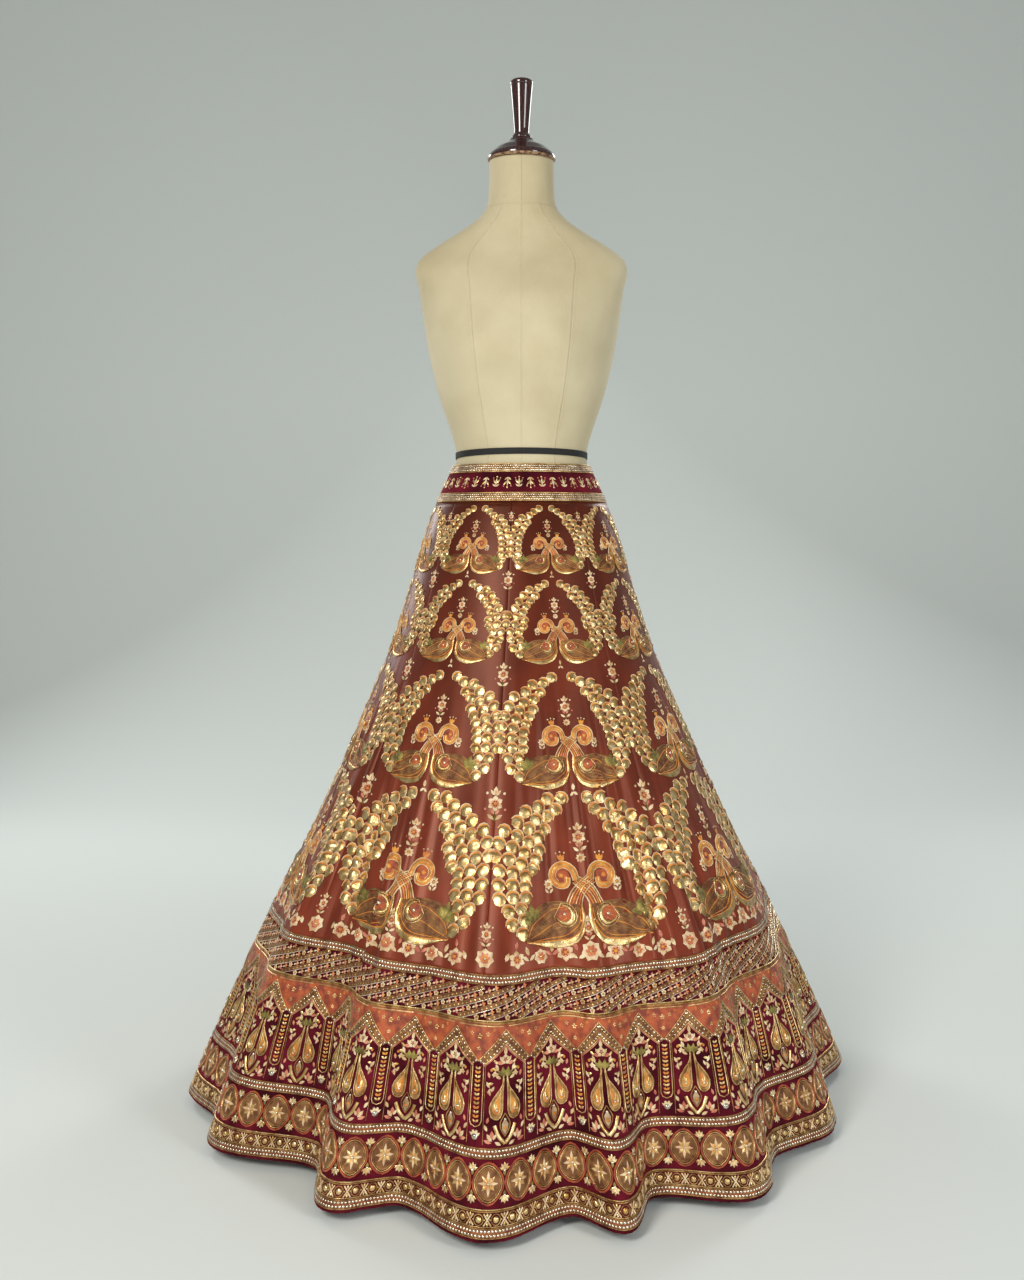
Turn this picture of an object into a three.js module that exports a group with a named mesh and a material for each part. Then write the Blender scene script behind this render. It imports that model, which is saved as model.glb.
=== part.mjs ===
// A bridal lehenga skirt worn by a limbless tailor's dress form on a round stand.
// The skirt is eight satin gores (kalis) gathered into a shaped waistband, with a deep velvet
// border joined below them and a rolled edge round the hem.
// Millimetres, +Z up. The origin is on the floor, at the centre of the stand's base plate.
// -Y is the front. Angles run from the front towards +X, in degrees.
import * as THREE from 'three';

// ---- Driving dimensions ----

const SEAM_GAP = 0.3;
const CLOTH_WALL = 2;
const ROLLED_EDGE = 3;

const WAIST_HEIGHT = 1031;
const BAND_FOOT = 970;
const BORDER_TOP = 312;
const HEM_HEIGHT = 18;

const GORES = 8;
const FRONT_SEAM_ANGLE = -7;
const STEPS_ACROSS_GORE = 12;
const GORE_ROWS = [904, 807, 720, 620, 520, 415];
const BORDER_ROWS = [240, 180, 117, 65];
const RING_SAMPLES = 720;

// The skirt's mean section at each height: half its width and half its depth.
const SKIRT_SECTIONS = [
  { height: 1031, halfWidth: 112, halfDepth: 90 },
  { height: 970, halfWidth: 140, halfDepth: 119 },
  { height: 904, halfWidth: 163, halfDepth: 146 },
  { height: 807, halfWidth: 191, halfDepth: 182 },
  { height: 720, halfWidth: 221, halfDepth: 217 },
  { height: 585, halfWidth: 277, halfDepth: 275 },
  { height: 470, halfWidth: 328, halfDepth: 325 },
  { height: 312, halfWidth: 403, halfDepth: 402 },
  { height: 117, halfWidth: 477, halfDepth: 475 },
  { height: 18, halfWidth: 510, halfDepth: 508 },
];

// The folds of the flare: where each crest and the valley after it stand, how far they leave
// the mean section at the hem, and the height at which the fold begins.
const FOLDS = [
  { crest: -83, out: 32, valley: -69, in: 6, top: 420 },
  { crest: -60, out: 24, valley: -41, in: 56, top: 640 },
  { crest: -29, out: 28, valley: -20, in: 27, top: 300 },
  { crest: -5, out: 43, valley: 8, in: 24, top: 760 },
  { crest: 14.5, out: 34, valley: 23, in: 44, top: 360 },
  { crest: 37, out: 28, valley: 51, in: 32, top: 520 },
  { crest: 66, out: 8, valley: 84, in: 20, top: 400 },
  { crest: 100, out: 48, valley: 116, in: 16, top: 460 },
  { crest: 131, out: 34, valley: 143, in: 30, top: 500 },
  { crest: 155, out: 26, valley: 166, in: 38, top: 330 },
  { crest: 178, out: 40, valley: 190, in: 26, top: 700 },
  { crest: 203, out: 30, valley: 214, in: 42, top: 380 },
  { crest: 226, out: 38, valley: 238, in: 24, top: 560 },
  { crest: 251, out: 22, valley: 263, in: 34, top: 420 },
];
const FOLD_GROWTH = 1.2;

// The dress form's sections: half its width, and its reach to the front and to the back.
const FORM_SECTIONS = [
  { height: 835, halfWidth: 150, front: 100, back: 108 },
  { height: 850, halfWidth: 157, front: 106, back: 115 },
  { height: 890, halfWidth: 156, front: 107, back: 117 },
  { height: 935, halfWidth: 145, front: 102, back: 110 },
  { height: 975, halfWidth: 131, front: 96, back: 98 },
  { height: 1010, halfWidth: 116, front: 90, back: 89 },
  { height: 1031, halfWidth: 108.5, front: 86, back: 86 },
  { height: 1045, halfWidth: 107, front: 85, back: 84 },
  { height: 1060, halfWidth: 108.5, front: 86, back: 84 },
  { height: 1090, halfWidth: 117, front: 90, back: 84 },
  { height: 1150, halfWidth: 137, front: 99, back: 86 },
  { height: 1215, halfWidth: 152, front: 107, back: 90 },
  { height: 1270, halfWidth: 161, front: 100, back: 94 },
  { height: 1320, halfWidth: 168, front: 85, back: 94 },
  { height: 1350, halfWidth: 174, front: 71, back: 88 },
  { height: 1370, halfWidth: 167, front: 60, back: 79 },
  { height: 1390, halfWidth: 141, front: 54, back: 70 },
  { height: 1412, halfWidth: 106, front: 50, back: 62 },
  { height: 1434, halfWidth: 74, front: 49, back: 57 },
  { height: 1454, halfWidth: 58, front: 49, back: 54 },
  { height: 1480, halfWidth: 54, front: 49, back: 51 },
  { height: 1530, halfWidth: 53, front: 49, back: 49 },
];
const FORM_STEPS_ROUND = 36;
const BUST = { height: 1215, apart: 150, rise: 15, spread: 48 };

const TAPE = { height: 1046, tilt: 5, width: 10, wall: 1.2, lift: 0.6, steps: 36 };

const NECK_TOP = 1530;
const CAP = { radius: 56, rim: 13, dome: 24, neckRadius: 19 };
const HANDLE = { waistRadius: 12.5, topRadius: 19, length: 96 };

const POLE_RADIUS = 16;
const BASE = { radius: 190, thickness: 10, edge: 3 };
const COLLAR = { radius: 30, height: 45 };
const SOCKET = { radius: 46, flange: 8, sleeveRadius: 24, sleeve: 40 };

// ---- Materials ----

const finish = (color, roughness, metalness = 0) =>
  new THREE.MeshStandardMaterial({ color, roughness, metalness });
const SATIN = finish(0x8a2f1c, 0.35);
const VELVET = finish(0x5a0f26, 0.85);
const JERSEY = finish(0xcdbd8f, 0.9);
const BLACK_TAPE = finish(0x161616, 0.7);
const DARK_WOOD = finish(0x2a1210, 0.25);
const STEEL = finish(0x8d9094, 0.4, 0.9);

// ---- Smooth tables and rings ----

const radians = THREE.MathUtils.degToRad;

// A smooth curve through a table's column, read at one height. Rows may run up or down.
function columnAt(rows, column, height) {
  const sorted = [...rows].sort((a, b) => a.height - b.height);
  const last = sorted.length - 1;
  const slope = (i) => {
    const below = sorted[Math.max(i - 1, 0)];
    const above = sorted[Math.min(i + 1, last)];
    return (above[column] - below[column]) / (above.height - below.height);
  };
  const clamped = THREE.MathUtils.clamp(height, sorted[0].height, sorted[last].height);
  let i = 0;
  while (i < last - 1 && sorted[i + 1].height < clamped) i += 1;
  const span = sorted[i + 1].height - sorted[i].height;
  const t = (clamped - sorted[i].height) / span;
  const start = (1 + 2 * t) * (1 - t) ** 2 * sorted[i][column];
  const end = t * t * (3 - 2 * t) * sorted[i + 1][column];
  const startSlope = t * (1 - t) ** 2 * span * slope(i);
  const endSlope = t * t * (t - 1) * span * slope(i + 1);
  return start + end + startSlope + endSlope;
}

// Every crest and valley in order round the hem.
const TURNS = FOLDS.flatMap(({ crest, out, valley, in: dip, top }) => [
  { angle: crest, reach: out, top },
  { angle: valley, reach: -dip, top },
]);

// How far the folds push the cloth out from the mean section.
function foldReach(angle, height) {
  const first = TURNS[0].angle;
  const turned = first + THREE.MathUtils.euclideanModulo(angle - first, 360);
  let i = 0;
  while (i < TURNS.length - 1 && TURNS[i + 1].angle <= turned) i += 1;
  const here = TURNS[i];
  const next = TURNS[(i + 1) % TURNS.length];
  const width = THREE.MathUtils.euclideanModulo(next.angle - here.angle, 360);
  const share = (1 - Math.cos((Math.PI * (turned - here.angle)) / width)) / 2;
  const grown = ({ reach, top }) => {
    const fall = Math.max(top - height, 0) / (top - HEM_HEIGHT);
    return reach * fall ** FOLD_GROWTH;
  };
  return grown(here) * (1 - share) + grown(next) * share;
}

// The skirt's outer face at one angle and height.
function skirtPoint(angle, height) {
  const sine = Math.sin(radians(angle));
  const cosine = Math.cos(radians(angle));
  const halfWidth = columnAt(SKIRT_SECTIONS, 'halfWidth', height);
  const halfDepth = columnAt(SKIRT_SECTIONS, 'halfDepth', height);
  const mean = 1 / Math.hypot(sine / halfWidth, cosine / halfDepth);
  const radius = mean + foldReach(angle, height);
  return new THREE.Vector2(radius * sine, -radius * cosine);
}

// One level of the skirt, measured along the cloth from the front seam. The cloth of every gore
// is equally wide at a level, so seams stand at equal shares of its length.
function skirtRing(height) {
  const points = [];
  const along = [0];
  for (let i = 0; i <= RING_SAMPLES; i += 1) {
    points.push(skirtPoint(FRONT_SEAM_ANGLE + (360 * i) / RING_SAMPLES, height));
    if (i > 0) along.push(along[i - 1] + points[i].distanceTo(points[i - 1]));
  }
  const length = along[RING_SAMPLES];
  return { height, points, along, length };
}

// A point of the wall on a ring: a distance along the cloth, and a depth in from the outer face.
function pointInWall(ring, distance, depth) {
  const wrapped = THREE.MathUtils.euclideanModulo(distance, ring.length);
  let low = 0;
  let high = RING_SAMPLES;
  while (high - low > 1) {
    const middle = (low + high) >> 1;
    if (ring.along[middle] <= wrapped) low = middle;
    else high = middle;
  }
  const share = (wrapped - ring.along[low]) / (ring.along[high] - ring.along[low]);
  const place = ring.points[low].clone().lerp(ring.points[high], share);
  const onward = ring.points[high].clone().sub(ring.points[low]).normalize();
  return new THREE.Vector3(
    place.x - onward.y * depth,
    place.y + onward.x * depth,
    ring.height,
  );
}

// ---- Closed meshes ----

// A wall between two faces. column(i, depth) gives point i of each row at that depth, from the
// top row down. A closed wall joins its last column to its first.
function wallGeometry({ rows, columns, closed, wall, pointAt }) {
  const positions = [];
  const index = [];
  const layers = [0, wall];
  for (const depth of layers)
    for (let row = 0; row < rows; row += 1)
      for (let column = 0; column < columns; column += 1)
        positions.push(...pointAt(row, column, depth).toArray());
  const at = (layer, row, column) => (layer * rows + row) * columns + (column % columns);
  const quad = (a, b, c, d) => index.push(a, b, c, a, c, d);
  const spans = closed ? columns : columns - 1;
  for (let column = 0; column < spans; column += 1) {
    for (let row = 0; row < rows - 1; row += 1) {
      quad(at(0, row, column), at(0, row + 1, column),
        at(0, row + 1, column + 1), at(0, row, column + 1));
      quad(at(1, row, column), at(1, row, column + 1),
        at(1, row + 1, column + 1), at(1, row + 1, column));
    }
    const foot = rows - 1;
    quad(at(0, 0, column), at(0, 0, column + 1), at(1, 0, column + 1), at(1, 0, column));
    quad(at(0, foot, column), at(1, foot, column),
      at(1, foot, column + 1), at(0, foot, column + 1));
  }
  if (!closed) {
    const edge = columns - 1;
    for (let row = 0; row < rows - 1; row += 1) {
      quad(at(0, row, 0), at(1, row, 0), at(1, row + 1, 0), at(0, row + 1, 0));
      quad(at(0, row, edge), at(0, row + 1, edge), at(1, row + 1, edge), at(1, row, edge));
    }
  }
  return indexedGeometry(positions, index);
}

function indexedGeometry(positions, index) {
  const geometry = new THREE.BufferGeometry();
  geometry.setAttribute('position', new THREE.Float32BufferAttribute(positions, 3));
  geometry.setIndex(index);
  geometry.computeVertexNormals();
  return geometry;
}

// A solid lofted through rings of equally many points, lowest first, each anticlockwise.
function loftGeometry(rings) {
  const around = rings[0].length;
  const positions = rings.flat().flatMap((point) => point.toArray());
  const index = [];
  for (let row = 0; row < rings.length - 1; row += 1)
    for (let i = 0; i < around; i += 1) {
      const here = row * around + i;
      const beside = row * around + ((i + 1) % around);
      index.push(here, beside, beside + around, here, beside + around, here + around);
    }
  const top = (rings.length - 1) * around;
  for (let i = 1; i < around - 1; i += 1) {
    index.push(0, i + 1, i);
    index.push(top, top + i, top + i + 1);
  }
  return indexedGeometry(positions, index);
}

// A turned solid on the Z axis from [radius, height] pairs, lowest first.
function turnedGeometry(profile, steps) {
  const points = profile.map(([radius, height]) => new THREE.Vector2(radius, height));
  return new THREE.LatheGeometry(points, steps).rotateX(Math.PI / 2);
}

function named(name, geometry, material) {
  const mesh = new THREE.Mesh(geometry, material);
  mesh.name = name;
  return mesh;
}

// ---- Skirt ----

// A ring-shaped strip of cloth between two heights, such as the waistband.
function ringStrip(name, top, foot, material, { lift = 0, wall = CLOTH_WALL } = {}) {
  const rings = [skirtRing(top), skirtRing(foot)];
  const columns = GORES * STEPS_ACROSS_GORE;
  const geometry = wallGeometry({
    rows: rings.length,
    columns,
    closed: true,
    wall,
    pointAt: (row, column, depth) =>
      pointInWall(rings[row], (rings[row].length * column) / columns, depth - lift),
  });
  return named(name, geometry, material);
}

// One gore's width of cloth between its two seams, through the given heights, highest first.
function gorePiece(name, gore, heights, material) {
  const rings = heights.map(skirtRing);
  const columns = STEPS_ACROSS_GORE + 1;
  const geometry = wallGeometry({
    rows: rings.length,
    columns,
    closed: false,
    wall: CLOTH_WALL,
    pointAt: (row, column, depth) => {
      const width = rings[row].length / GORES;
      const inside = (width - SEAM_GAP) * (column / STEPS_ACROSS_GORE);
      return pointInWall(rings[row], gore * width + SEAM_GAP / 2 + inside, depth);
    },
  });
  return named(name, geometry, material);
}

function skirt() {
  const group = new THREE.Group();
  const half = SEAM_GAP / 2;
  group.add(ringStrip('waistband', WAIST_HEIGHT, BAND_FOOT + half, VELVET));
  for (let gore = 0; gore < GORES; gore += 1) {
    const satin = [BAND_FOOT - half, ...GORE_ROWS, BORDER_TOP + half];
    const velvet = [BORDER_TOP - half, ...BORDER_ROWS, HEM_HEIGHT];
    group.add(gorePiece(`gore_${gore + 1}`, gore, satin, SATIN));
    group.add(gorePiece(`border_${gore + 1}`, gore, velvet, VELVET));
  }
  const edgeTop = HEM_HEIGHT - SEAM_GAP;
  group.add(ringStrip('hem_edge', edgeTop, edgeTop - ROLLED_EDGE, VELVET, {
    lift: ROLLED_EDGE / 6,
    wall: ROLLED_EDGE,
  }));
  return group;
}

// ---- Dress form ----

function bustRise(x, height) {
  const up = (height - BUST.height) ** 2;
  const across = (Math.abs(x) - BUST.apart / 2) ** 2;
  return BUST.rise * Math.exp(-(across + up) / (2 * BUST.spread ** 2));
}

// The form's surface at one angle and height, moved out by some distance.
function formPoint(angle, height, out = 0) {
  const halfWidth = columnAt(FORM_SECTIONS, 'halfWidth', height);
  const sine = Math.sin(angle);
  const cosine = Math.cos(angle);
  const x = halfWidth * sine;
  const towardsFront = Math.max(cosine, 0);
  const depth = columnAt(FORM_SECTIONS, cosine > 0 ? 'front' : 'back', height);
  const y = -depth * cosine - bustRise(x, height) * towardsFront;
  return new THREE.Vector3(x + out * sine, y - out * cosine, height);
}

function torso() {
  const rings = FORM_SECTIONS.map(({ height }) =>
    Array.from({ length: FORM_STEPS_ROUND }, (_, i) =>
      formPoint((2 * Math.PI * i) / FORM_STEPS_ROUND, height)));
  return named('form_torso', loftGeometry(rings), JERSEY);
}

// The black tape pinned round the waist, a little higher at the front.
function waistTape() {
  const geometry = wallGeometry({
    rows: 2,
    columns: TAPE.steps,
    closed: true,
    wall: TAPE.wall,
    pointAt: (row, column, depth) => {
      const angle = (2 * Math.PI * column) / TAPE.steps;
      const middle = TAPE.height + TAPE.tilt * Math.cos(angle);
      const height = middle + TAPE.width * (0.5 - row);
      return formPoint(angle, height, TAPE.lift + TAPE.wall - depth);
    },
  });
  return named('waist_tape', geometry, BLACK_TAPE);
}

// The turned wooden plate that closes the neck, and the handle that the form is carried by.
function neckCap() {
  const foot = NECK_TOP + SEAM_GAP;
  const { radius, rim, dome, neckRadius } = CAP;
  const brim = foot + rim;
  const profile = [
    [0, foot],
    [radius - 3, foot],
    [radius, foot + 3],
    [radius, foot + 7],
    [radius - 5, brim],
    [radius * 0.72, brim + dome * 0.4],
    [radius * 0.48, brim + dome * 0.68],
    [neckRadius, brim + dome],
    [0, brim + dome],
  ];
  return named('neck_cap', turnedGeometry(profile, 28), DARK_WOOD);
}

function handle() {
  const foot = NECK_TOP + CAP.rim + CAP.dome + 2 * SEAM_GAP;
  const { waistRadius, topRadius, length } = HANDLE;
  const profile = [
    [0, foot],
    [waistRadius + 4, foot],
    [waistRadius, foot + 8],
    [waistRadius + 1, foot + length * 0.3],
    [(waistRadius + topRadius) / 2, foot + length * 0.6],
    [topRadius - 0.5, foot + length * 0.9],
    [topRadius, foot + length * 0.95],
    [topRadius - 3, foot + length],
    [0, foot + length],
  ];
  return named('handle', turnedGeometry(profile, 20), DARK_WOOD);
}

// ---- Stand ----

function basePlate() {
  const { radius, thickness, edge } = BASE;
  const profile = [
    [0, 0],
    [radius - edge, 0],
    [radius, edge],
    [radius, thickness - edge],
    [radius - edge, thickness],
    [0, thickness],
  ];
  return named('base_plate', turnedGeometry(profile, 48), STEEL);
}

// A sleeve with a flange at its foot or its head, bored to let the pole in.
function bored(name, profile) {
  return named(name, turnedGeometry([...profile, profile[0]], 28), STEEL);
}

function stand() {
  const group = new THREE.Group();
  const bore = POLE_RADIUS + SEAM_GAP;
  const collarFoot = BASE.thickness + SEAM_GAP;
  const poleFoot = collarFoot;
  const torsoFoot = FORM_SECTIONS[0].height;
  const poleTop = torsoFoot - SEAM_GAP;
  const flangeFoot = poleTop - SOCKET.flange;
  group.add(basePlate());
  group.add(bored('base_collar', [
    [bore, collarFoot],
    [COLLAR.radius, collarFoot],
    [COLLAR.radius, collarFoot + COLLAR.height * 0.6],
    [bore + 4, collarFoot + COLLAR.height],
    [bore, collarFoot + COLLAR.height],
  ]));
  group.add(bored('form_socket', [
    [bore, flangeFoot - SOCKET.sleeve],
    [SOCKET.sleeveRadius, flangeFoot - SOCKET.sleeve],
    [SOCKET.sleeveRadius, flangeFoot],
    [SOCKET.radius, flangeFoot],
    [SOCKET.radius, poleTop],
    [bore, poleTop],
  ]));
  const pole = new THREE.CylinderGeometry(POLE_RADIUS, POLE_RADIUS, poleTop - poleFoot, 24);
  const poleMesh = named('pole', pole, STEEL);
  poleMesh.rotation.x = Math.PI / 2;
  poleMesh.position.z = (poleTop + poleFoot) / 2;
  group.add(poleMesh);
  return group;
}

const lehengaOnForm = new THREE.Group();
lehengaOnForm.add(skirt(), torso(), waistTape(), neckCap(), handle(), stand());

export default lehengaOnForm;
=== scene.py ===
import math

import bpy
import numpy as np
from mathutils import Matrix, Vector


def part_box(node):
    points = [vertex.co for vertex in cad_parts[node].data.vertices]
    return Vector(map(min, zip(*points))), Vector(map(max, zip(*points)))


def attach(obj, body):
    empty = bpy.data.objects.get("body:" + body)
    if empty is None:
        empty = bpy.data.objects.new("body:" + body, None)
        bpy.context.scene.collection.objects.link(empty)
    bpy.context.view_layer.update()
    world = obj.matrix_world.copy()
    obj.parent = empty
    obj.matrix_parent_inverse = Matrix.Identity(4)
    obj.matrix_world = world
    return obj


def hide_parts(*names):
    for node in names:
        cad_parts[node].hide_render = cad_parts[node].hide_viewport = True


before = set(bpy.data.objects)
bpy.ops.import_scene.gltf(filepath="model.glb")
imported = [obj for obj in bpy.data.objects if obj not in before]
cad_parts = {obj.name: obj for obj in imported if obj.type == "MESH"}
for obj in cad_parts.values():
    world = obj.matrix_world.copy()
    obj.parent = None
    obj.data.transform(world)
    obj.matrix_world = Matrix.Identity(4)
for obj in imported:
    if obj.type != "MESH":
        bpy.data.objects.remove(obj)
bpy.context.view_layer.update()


# Camera: a standing view from the front, a little below the waist, looking slightly down.
# The frame is shifted a little downwards, which shows the floor below the hem.

lens_eye = bpy.data.cameras.new("front_view")
lens_eye.lens = 39.07
lens_eye.shift_y = -0.06
camera = bpy.data.objects.new("front_view", lens_eye)
camera.location = (0, -2.3, 0.92)
camera.rotation_euler = (math.radians(90 - 1.25), 0, math.radians(0.39))
bpy.context.collection.objects.link(camera)
bpy.context.scene.camera = camera


# Floor: a plain pale sheet, swept up behind as a studio's paper roll is.
# Soft boxes stand at both sides of the camera, with a small one behind for the edges.

def principled(name, **sockets):
    """A new material whose shader holds these constants, and the parts to build on it."""
    material = bpy.data.materials.new(name)
    material.use_nodes = True
    tree = material.node_tree
    shader = tree.nodes["Principled BSDF"]
    for socket, value in sockets.items():
        shader.inputs[socket.replace("_", " ")].default_value = value
    return material, tree, shader


def add_node(tree, kind, **sockets):
    """A new node of a material, with these constants on its sockets."""
    made = tree.nodes.new("ShaderNode" + kind)
    for socket, value in sockets.items():
        made.inputs[socket.replace("_", " ")].default_value = value
    return made


def two_colours(tree, first, second, start=0.0, end=1.0):
    """A blend from one colour to another between two positions."""
    made = add_node(tree, "ValToRGB")
    for stop, position, colour in zip(made.color_ramp.elements, (start, end), (first, second)):
        stop.position = position
        stop.color = colour
    return made


def add_mesh(name, points, faces, material, smooth=True):
    """A mesh object from arrays. Its faces may have three or four corners."""
    mesh = bpy.data.meshes.new(name)
    mesh.from_pydata(np.asarray(points).tolist(), [], [list(map(int, f)) for f in faces])
    mesh.polygons.foreach_set("use_smooth", [smooth] * len(mesh.polygons))
    mesh.update()
    piece = bpy.data.objects.new(name, mesh)
    piece.data.materials.append(material)
    bpy.context.collection.objects.link(piece)
    return piece


paper = principled("pale_paper", Base_Color=(0.80, 0.84, 0.81, 1), Roughness=0.9)[0]
sweep = [(-3.5, 0), (2.2, 0)] + [
    (2.2 + 1.5 * math.sin(a), 1.5 - 1.5 * math.cos(a)) for a in np.linspace(0.1, math.pi / 2, 14)
] + [(3.7, 5)]
paper_points = [(x, y, z) for y, z in sweep for x in (-6, 6)]
paper_faces = [(2 * i, 2 * i + 1, 2 * i + 3, 2 * i + 2) for i in range(len(sweep) - 1)]
floor = add_mesh("floor", paper_points, paper_faces, paper)


def soft_box(name, place, target, size, power, tint):
    light = bpy.data.lights.new(name, "AREA")
    light.shape = "RECTANGLE"
    light.size, light.size_y = size
    light.energy = power
    light.color = tint
    box = bpy.data.objects.new(name, light)
    box.location = place
    aim = Vector(target) - Vector(place)
    box.rotation_euler = aim.to_track_quat("-Z", "Y").to_euler()
    bpy.context.collection.objects.link(box)


soft_box("key_box", (-1.5, -2.7, 2.4), (0, 0, 0.7), (0.9, 1.2), 62, (1, 0.97, 0.92))
soft_box("fill_box", (2.3, -2.3, 1.6), (0, 0, 0.6), (0.9, 1.3), 30, (0.97, 0.98, 1))
soft_box("low_box", (0.3, -3.3, 0.6), (0, 0, 0.3), (1.6, 0.5), 13, (1, 0.97, 0.94))
soft_box("edge_box", (1.7, 2.4, 2.3), (0, 0, 0.8), (0.8, 1.4), 26, (1, 1, 1))
soft_box("edge_box_left", (-2.0, 2.1, 1.9), (0, 0, 0.7), (0.8, 1.4), 24, (1, 1, 1))
room = bpy.data.worlds.new("studio")
room.use_nodes = True
room.node_tree.nodes["Background"].inputs["Color"].default_value = (0.82, 0.86, 0.84, 1)
room.node_tree.nodes["Background"].inputs["Strength"].default_value = 0.30
bpy.context.scene.world = room
bpy.context.scene.view_settings.view_transform = "Standard"


# Dress form: a firm padded torso under a stretched cream cover, cut in panels that meet in
# shut seams at the centre, over the bust and at the sides, with one more round the neck.

def smooth_column(rows, column, heights):
    """A smooth curve through one column of a table whose first column is the height."""
    rows = np.array(sorted(rows))
    base = rows[:, 0]
    value = rows[:, column]
    inner = (value[2:] - value[:-2]) / (base[2:] - base[:-2])
    slope = np.concatenate((
        [(value[1] - value[0]) / (base[1] - base[0])],
        inner,
        [(value[-1] - value[-2]) / (base[-1] - base[-2])],
    ))
    heights = np.clip(heights, base[0], base[-1])
    i = np.clip(np.searchsorted(base, heights) - 1, 0, len(base) - 2)
    span = base[i + 1] - base[i]
    t = (heights - base[i]) / span
    return ((1 + 2 * t) * (1 - t) ** 2 * value[i] + t * t * (3 - 2 * t) * value[i + 1]
            + t * (1 - t) ** 2 * span * slope[i] + t * t * (t - 1) * span * slope[i + 1])


# height, half width, reach to the front, reach to the back
FORM_SECTIONS = (
    (0.835, 0.150, 0.100, 0.108), (0.850, 0.157, 0.106, 0.115), (0.890, 0.156, 0.107, 0.117),
    (0.935, 0.145, 0.102, 0.110), (0.975, 0.131, 0.096, 0.098), (1.010, 0.116, 0.090, 0.089),
    (1.031, 0.1085, 0.086, 0.086), (1.045, 0.107, 0.085, 0.084), (1.060, 0.1085, 0.086, 0.084),
    (1.090, 0.117, 0.090, 0.084), (1.150, 0.137, 0.099, 0.086), (1.215, 0.152, 0.107, 0.090),
    (1.270, 0.161, 0.100, 0.094), (1.320, 0.168, 0.085, 0.094), (1.350, 0.174, 0.071, 0.088),
    (1.370, 0.167, 0.060, 0.079), (1.390, 0.141, 0.054, 0.070), (1.412, 0.106, 0.050, 0.062),
    (1.434, 0.074, 0.049, 0.057), (1.454, 0.058, 0.049, 0.054), (1.480, 0.054, 0.049, 0.051),
    (1.530, 0.053, 0.049, 0.049),
)
BUST_HEIGHT, BUST_HALF_APART, BUST_RISE, BUST_SPREAD = 1.215, 0.075, 0.015, 0.048
NECK_SEAM = 1.452
PANEL_SEAMS = (0, 30, 90, 152, 180, 208, 270, 330)


def form_surface(angle, height, out=0.0):
    """Points of the form for arrays of angles, from the front towards +X, and heights."""
    sine, cosine = np.sin(angle), np.cos(angle)
    half_width = smooth_column(FORM_SECTIONS, 1, height)
    front = smooth_column(FORM_SECTIONS, 2, height)
    back = smooth_column(FORM_SECTIONS, 3, height)
    x = half_width * sine
    depth = np.where(cosine > 0, front, back)
    off_bust = (np.abs(x) - BUST_HALF_APART) ** 2 + (height - BUST_HEIGHT) ** 2
    bust = BUST_RISE * np.exp(-off_bust / (2 * BUST_SPREAD ** 2)) * np.maximum(cosine, 0)
    y = -depth * cosine - bust
    return np.stack((x + out * sine, y - out * cosine, height + 0 * angle), axis=-1)


def grid_faces(rows, columns, closed=False, flip=False):
    """Quads of a grid of points, row by row. A closed grid joins its last column to its first."""
    spans = columns if closed else columns - 1
    row, column = np.meshgrid(np.arange(rows - 1), np.arange(spans), indexing="ij")
    beside = (column + 1) % columns
    faces = np.stack((row * columns + column, row * columns + beside,
                      (row + 1) * columns + beside, (row + 1) * columns + column), axis=-1)
    faces = faces.reshape(-1, 4)
    return faces[:, ::-1] if flip else faces


SEAM_PROFILE = ((-1.2, 0), (-0.45, 0.00045), (0, -0.0009), (0.45, 0.00045), (1.2, 0))
panel_angles = {round(a, 3): 0.0 for a in np.arange(0, 360, 3.0)}
for seam in PANEL_SEAMS:
    for near in (-3, 0, 3):
        panel_angles.pop(round((seam + near) % 360, 3), None)
    for offset, out in SEAM_PROFILE:
        panel_angles[round((seam + offset) % 360, 3)] = out
    for offset in (-3, 3):
        panel_angles[round((seam + offset) % 360, 3)] = 0.0
form_angles = np.array(sorted(panel_angles))
seam_out = np.array([panel_angles[a] for a in form_angles])
form_heights = {round(h, 4): 0.0 for h in np.arange(0.8365, 1.530, 0.0075)}
for offset, out in ((-0.0025, 0), (-0.0009, 0.0004), (0, -0.0009), (0.0009, 0.0004), (0.0025, 0)):
    form_heights[round(NECK_SEAM + offset, 4)] = out
form_heights[0.8355] = 0.0
form_heights[1.5298] = 0.0
form_rows = np.array(sorted(form_heights))
neck_out = np.array([form_heights[h] for h in form_rows])
angle_grid, height_grid = np.meshgrid(np.radians(form_angles), form_rows)
out_grid = np.where(neck_out[:, None] != 0, neck_out[:, None], seam_out[None, :])
out_grid = np.where((height_grid > NECK_SEAM + 0.003)
                    & (np.abs(np.cos(angle_grid)) < 0.999), 0, out_grid)
form_points = form_surface(angle_grid, height_grid, out_grid).reshape(-1, 3)
form_faces = [tuple(f) for f in grid_faces(len(form_rows), len(form_angles), closed=True)]
foot_ring = list(range(len(form_angles)))[::-1]
top_ring = list(range(len(form_points) - len(form_angles), len(form_points)))
form_points = np.vstack((form_points, [(0, 0, form_rows[0]), (0, 0, form_rows[-1])]))
foot_centre, top_centre = len(form_points) - 2, len(form_points) - 1
for i in range(len(foot_ring)):
    form_faces.append((foot_ring[i - 1], foot_ring[i], foot_centre))
    form_faces.append((top_ring[i - 1], top_ring[i], top_centre))

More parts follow.
